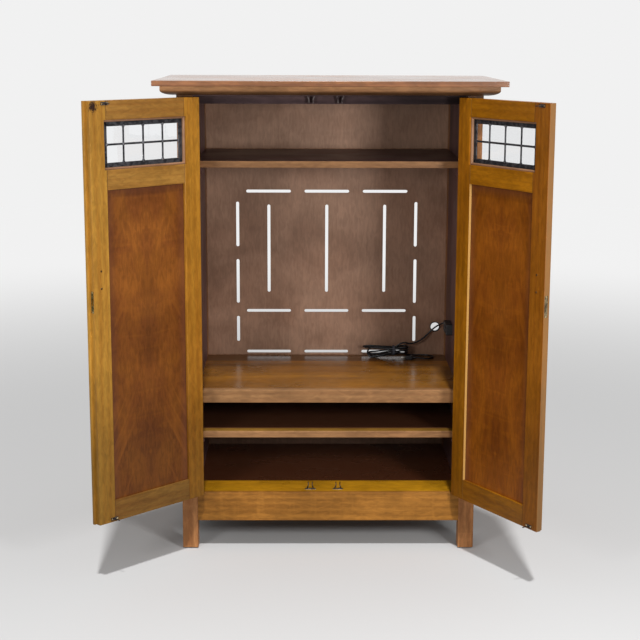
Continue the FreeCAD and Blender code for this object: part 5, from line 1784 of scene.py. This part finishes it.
    def plug(self) -> bpy.types.Object:
        """Moulded two-pin plug with a ribbed relief.

        Returns:
            The piece.
        """
        end = self.point(self.tail[-1])
        mesh = bmesh.new()
        self.plug_relief.add(mesh, end, Vector((-1.0, 0.0, 0.0)))
        start = end.x - self.plug_relief.length
        length, _, height = self.plug_body
        Bench.slab(mesh, (start - length / 2, end.y, end.z), self.plug_body, self.plug_ease, 4)
        Bench.slab(mesh, (start - self.grip_from - self.grip[0] / 2, end.y,
                          end.z + (height - self.grip[2]) / 2), self.grip, self.grip_ease)
        pins = bmesh.new()
        for side in (-1.0, 1.0):
            Bench.slab(pins, (start - length - self.pin[0] / 2, end.y + side * self.pins_apart / 2,
                              end.z), self.pin, self.pin_ease)
        Bench.join(mesh, pins, 1)
        return Bench.put(mesh, "power_lead_moulded_plug", Setting.CASE,
                         [Finishes.rubber.material(), Finishes.nickel.material()], Slot.RUBBER,
                         ["power_lead_plug"])

    def box(self) -> None:
        """The power box and its strain relief."""
        Bench.put(Bench.eased("power_box", self.box_ease), "power_box_shell", Setting.CASE,
                  [Finishes.plastic.material()], Slot.PLASTIC, ["power_box"])
        way = Vector((0.0, 1.0, 0.0))
        mesh = bmesh.new()
        start = self.point(self.feed[0]) - way * self.box_relief.length
        self.box_relief.add(mesh, start, way)
        Bench.put(mesh, "power_box_ribbed_relief", Setting.CASE, [Finishes.rubber.material()],
                  Slot.RUBBER, ["power_box_strain_relief"])

    def build(self) -> None:
        """Box, lead, tie and plug."""
        self.box()
        cord = self.lead()
        tie = self.tie()
        plug = self.plug()


# ---- studio -----------------------------------------------------------------------------------
@dataclass
class Studio:
    """Camera, lights, floor and background.

    The eye is in millimetres, the camera's turns are in degrees, and its focal length and the
    picture's width are in pixels. The floor and the lamps' places are in metres.
    """

    eye: Triple = (-87.3, -5386.2, 1853.06)
    yaw: float = -0.62
    pitch: float = 11.14
    roll: float = 0.19
    focal: float = 1443.05
    picture: float = 640.0
    sensor: float = 36.0
    clip: tuple[float, float] = (0.05, 200.0)
    white: Colour = (1.0, 1.0, 1.0, 1.0)
    # The background as seen, and the strength of the soft light that it gives.
    pale: float = 0.88
    fill: float = 0.3
    # The floor as seen, in reflections and through glass: near the part and far behind it.
    floor_pale: tuple[float, float] = (0.62, 0.97)
    floor_reach: tuple[float, float] = (2.0, 7.0)
    floor_radius: float = 11.0
    # What the floor throws back on the part.
    floor_bounce: float = 0.2
    floor_roughness: float = 0.8
    # The far key lamp: elevation, turn to the right, strength and apparent width in degrees.
    key: tuple[float, float, float, float] = (65.0, 2.0, 2.1, 3.0)
    key_away: float = 6.0
    # Each panel lamp: name, place and aim in metres, power in watts and side in metres.
    panels: tuple[tuple[str, Triple, Triple, float, float], ...] = (
        ("right_panel_lamp", (1.65, -3.15, 1.6), (-0.3, 0.0, 1.3), 53.0, 0.6),
        ("left_panel_lamp", (-1.7, -2.9, 1.6), (0.4, 0.0, 1.3), 24.0, 0.6))

    def camera(self) -> None:
        """The camera, made first."""
        yaw, pitch, roll = (math.radians(angle) for angle in (self.yaw, self.pitch, self.roll))
        ahead = Vector((-math.sin(yaw) * math.cos(pitch), math.cos(yaw) * math.cos(pitch),
                        -math.sin(pitch)))
        level = ahead.cross(Vector((0.0, 0.0, 1.0))).normalized()
        upright = level.cross(ahead)
        right = level * math.cos(roll) + upright * math.sin(roll)
        up = upright * math.cos(roll) - level * math.sin(roll)
        data = bpy.data.cameras.new("camera")
        data.sensor_width = self.sensor
        data.lens = self.focal / self.picture * self.sensor
        data.clip_start, data.clip_end = self.clip
        camera = bpy.data.objects.new("camera", data)
        axes = Matrix((right, up, -ahead)).transposed().to_4x4()
        camera.matrix_world = Matrix.Translation(Vector(self.eye) * MM) @ axes
        bpy.context.scene.collection.objects.link(camera)
        bpy.context.scene.camera = camera

    def lamps(self) -> None:
        """A key lamp high in front, far away, and soft panels at head height on both sides."""
        elevation, turn, strength, width = self.key
        rise, aside = math.radians(elevation), math.radians(turn)
        back = Vector((math.sin(aside) * math.cos(rise), -math.cos(aside) * math.cos(rise),
                       math.sin(rise)))
        data = bpy.data.lights.new("key_lamp", "SUN")
        data.energy = strength
        data.angle = math.radians(width)
        self.hang(data, back * self.key_away, -back)
        for name, place, aim, power, side in self.panels:
            data = bpy.data.lights.new(name, "AREA")
            data.energy = power
            data.size = side
            self.hang(data, Vector(place), Vector(aim) - Vector(place))

    @staticmethod
    def hang(data: bpy.types.Light, place: Vector, way: Vector) -> None:
        """Put a lamp at a place, turned along a direction.

        Args:
            data: the lamp's light.
            place: its place, in metres.
            way: the direction that it shines in.
        """
        lamp = bpy.data.objects.new(data.name, data)
        turn = way.to_track_quat("-Z", "Y").to_matrix().to_4x4()
        lamp.matrix_world = Matrix.Translation(place) @ turn
        bpy.context.scene.collection.objects.link(lamp)

    def world(self) -> None:
        """A pale background, and the same soft light from all sides."""
        world = bpy.data.worlds.new("studio")
        bpy.context.scene.world = world
        nodes = Nodes(world, "ShaderNodeOutputWorld")
        light, seen = (nodes.add("ShaderNodeBackground", {"Color": self.white,
                                                          "Strength": strength}).outputs[0]
                       for strength in (self.fill, self.pale))
        mix = nodes.add("ShaderNodeMixShader", {0: nodes.seen(), 1: light, 2: seen})
        nodes.close(mix.outputs[0])

    def floor(self) -> None:
        """A plain pale floor."""
        shader = Shader("studio_floor")
        away = shader.add("ShaderNodeVectorMath", {0: shader.place()},
                          operation="LENGTH").outputs["Value"]
        pale = shader.spread(away, *self.floor_reach, *self.floor_pale)
        bounce = (self.floor_bounce, self.floor_bounce, self.floor_bounce, 1.0)
        colour = shader.blend(shader.seen(), bounce, shader.grey(pale))
        material = shader.close(shader.surface(colour, self.floor_roughness,
                                               specular_ior_level=0.0))
        mesh = bmesh.new()
        bmesh.ops.create_circle(mesh, cap_ends=True, segments=96, radius=self.floor_radius)
        data = bpy.data.meshes.new("studio_floor")
        mesh.to_mesh(data)
        mesh.free()
        data.materials.append(material)
        floor = bpy.data.objects.new("studio_floor", data)
        bpy.context.scene.collection.objects.link(floor)

    def build(self) -> None:
        """Everything round the part."""
        self.camera()
        self.world()
        self.lamps()
        self.floor()
        bpy.context.scene.view_settings.view_transform = "Standard"


def main() -> None:
    """Build everything in order."""
    logging.basicConfig(level=logging.INFO, format="%(name)s %(message)s")
    Studio().build()
    PowerLead().build()
    CaseWork().build()
    Door(Setting.LEFT, Finishes.left_stile, Finishes.left_marked, Finishes.left_rails,
         Finishes.left_panel).build()
    Door(Setting.RIGHT, Finishes.right_stile, Finishes.right_meeting, Finishes.right_rails,
         Finishes.right_panel).build()
    catches = Catches()
    catches.build()
    Screws().build(catches)


if __name__ == "__main__":
    main()
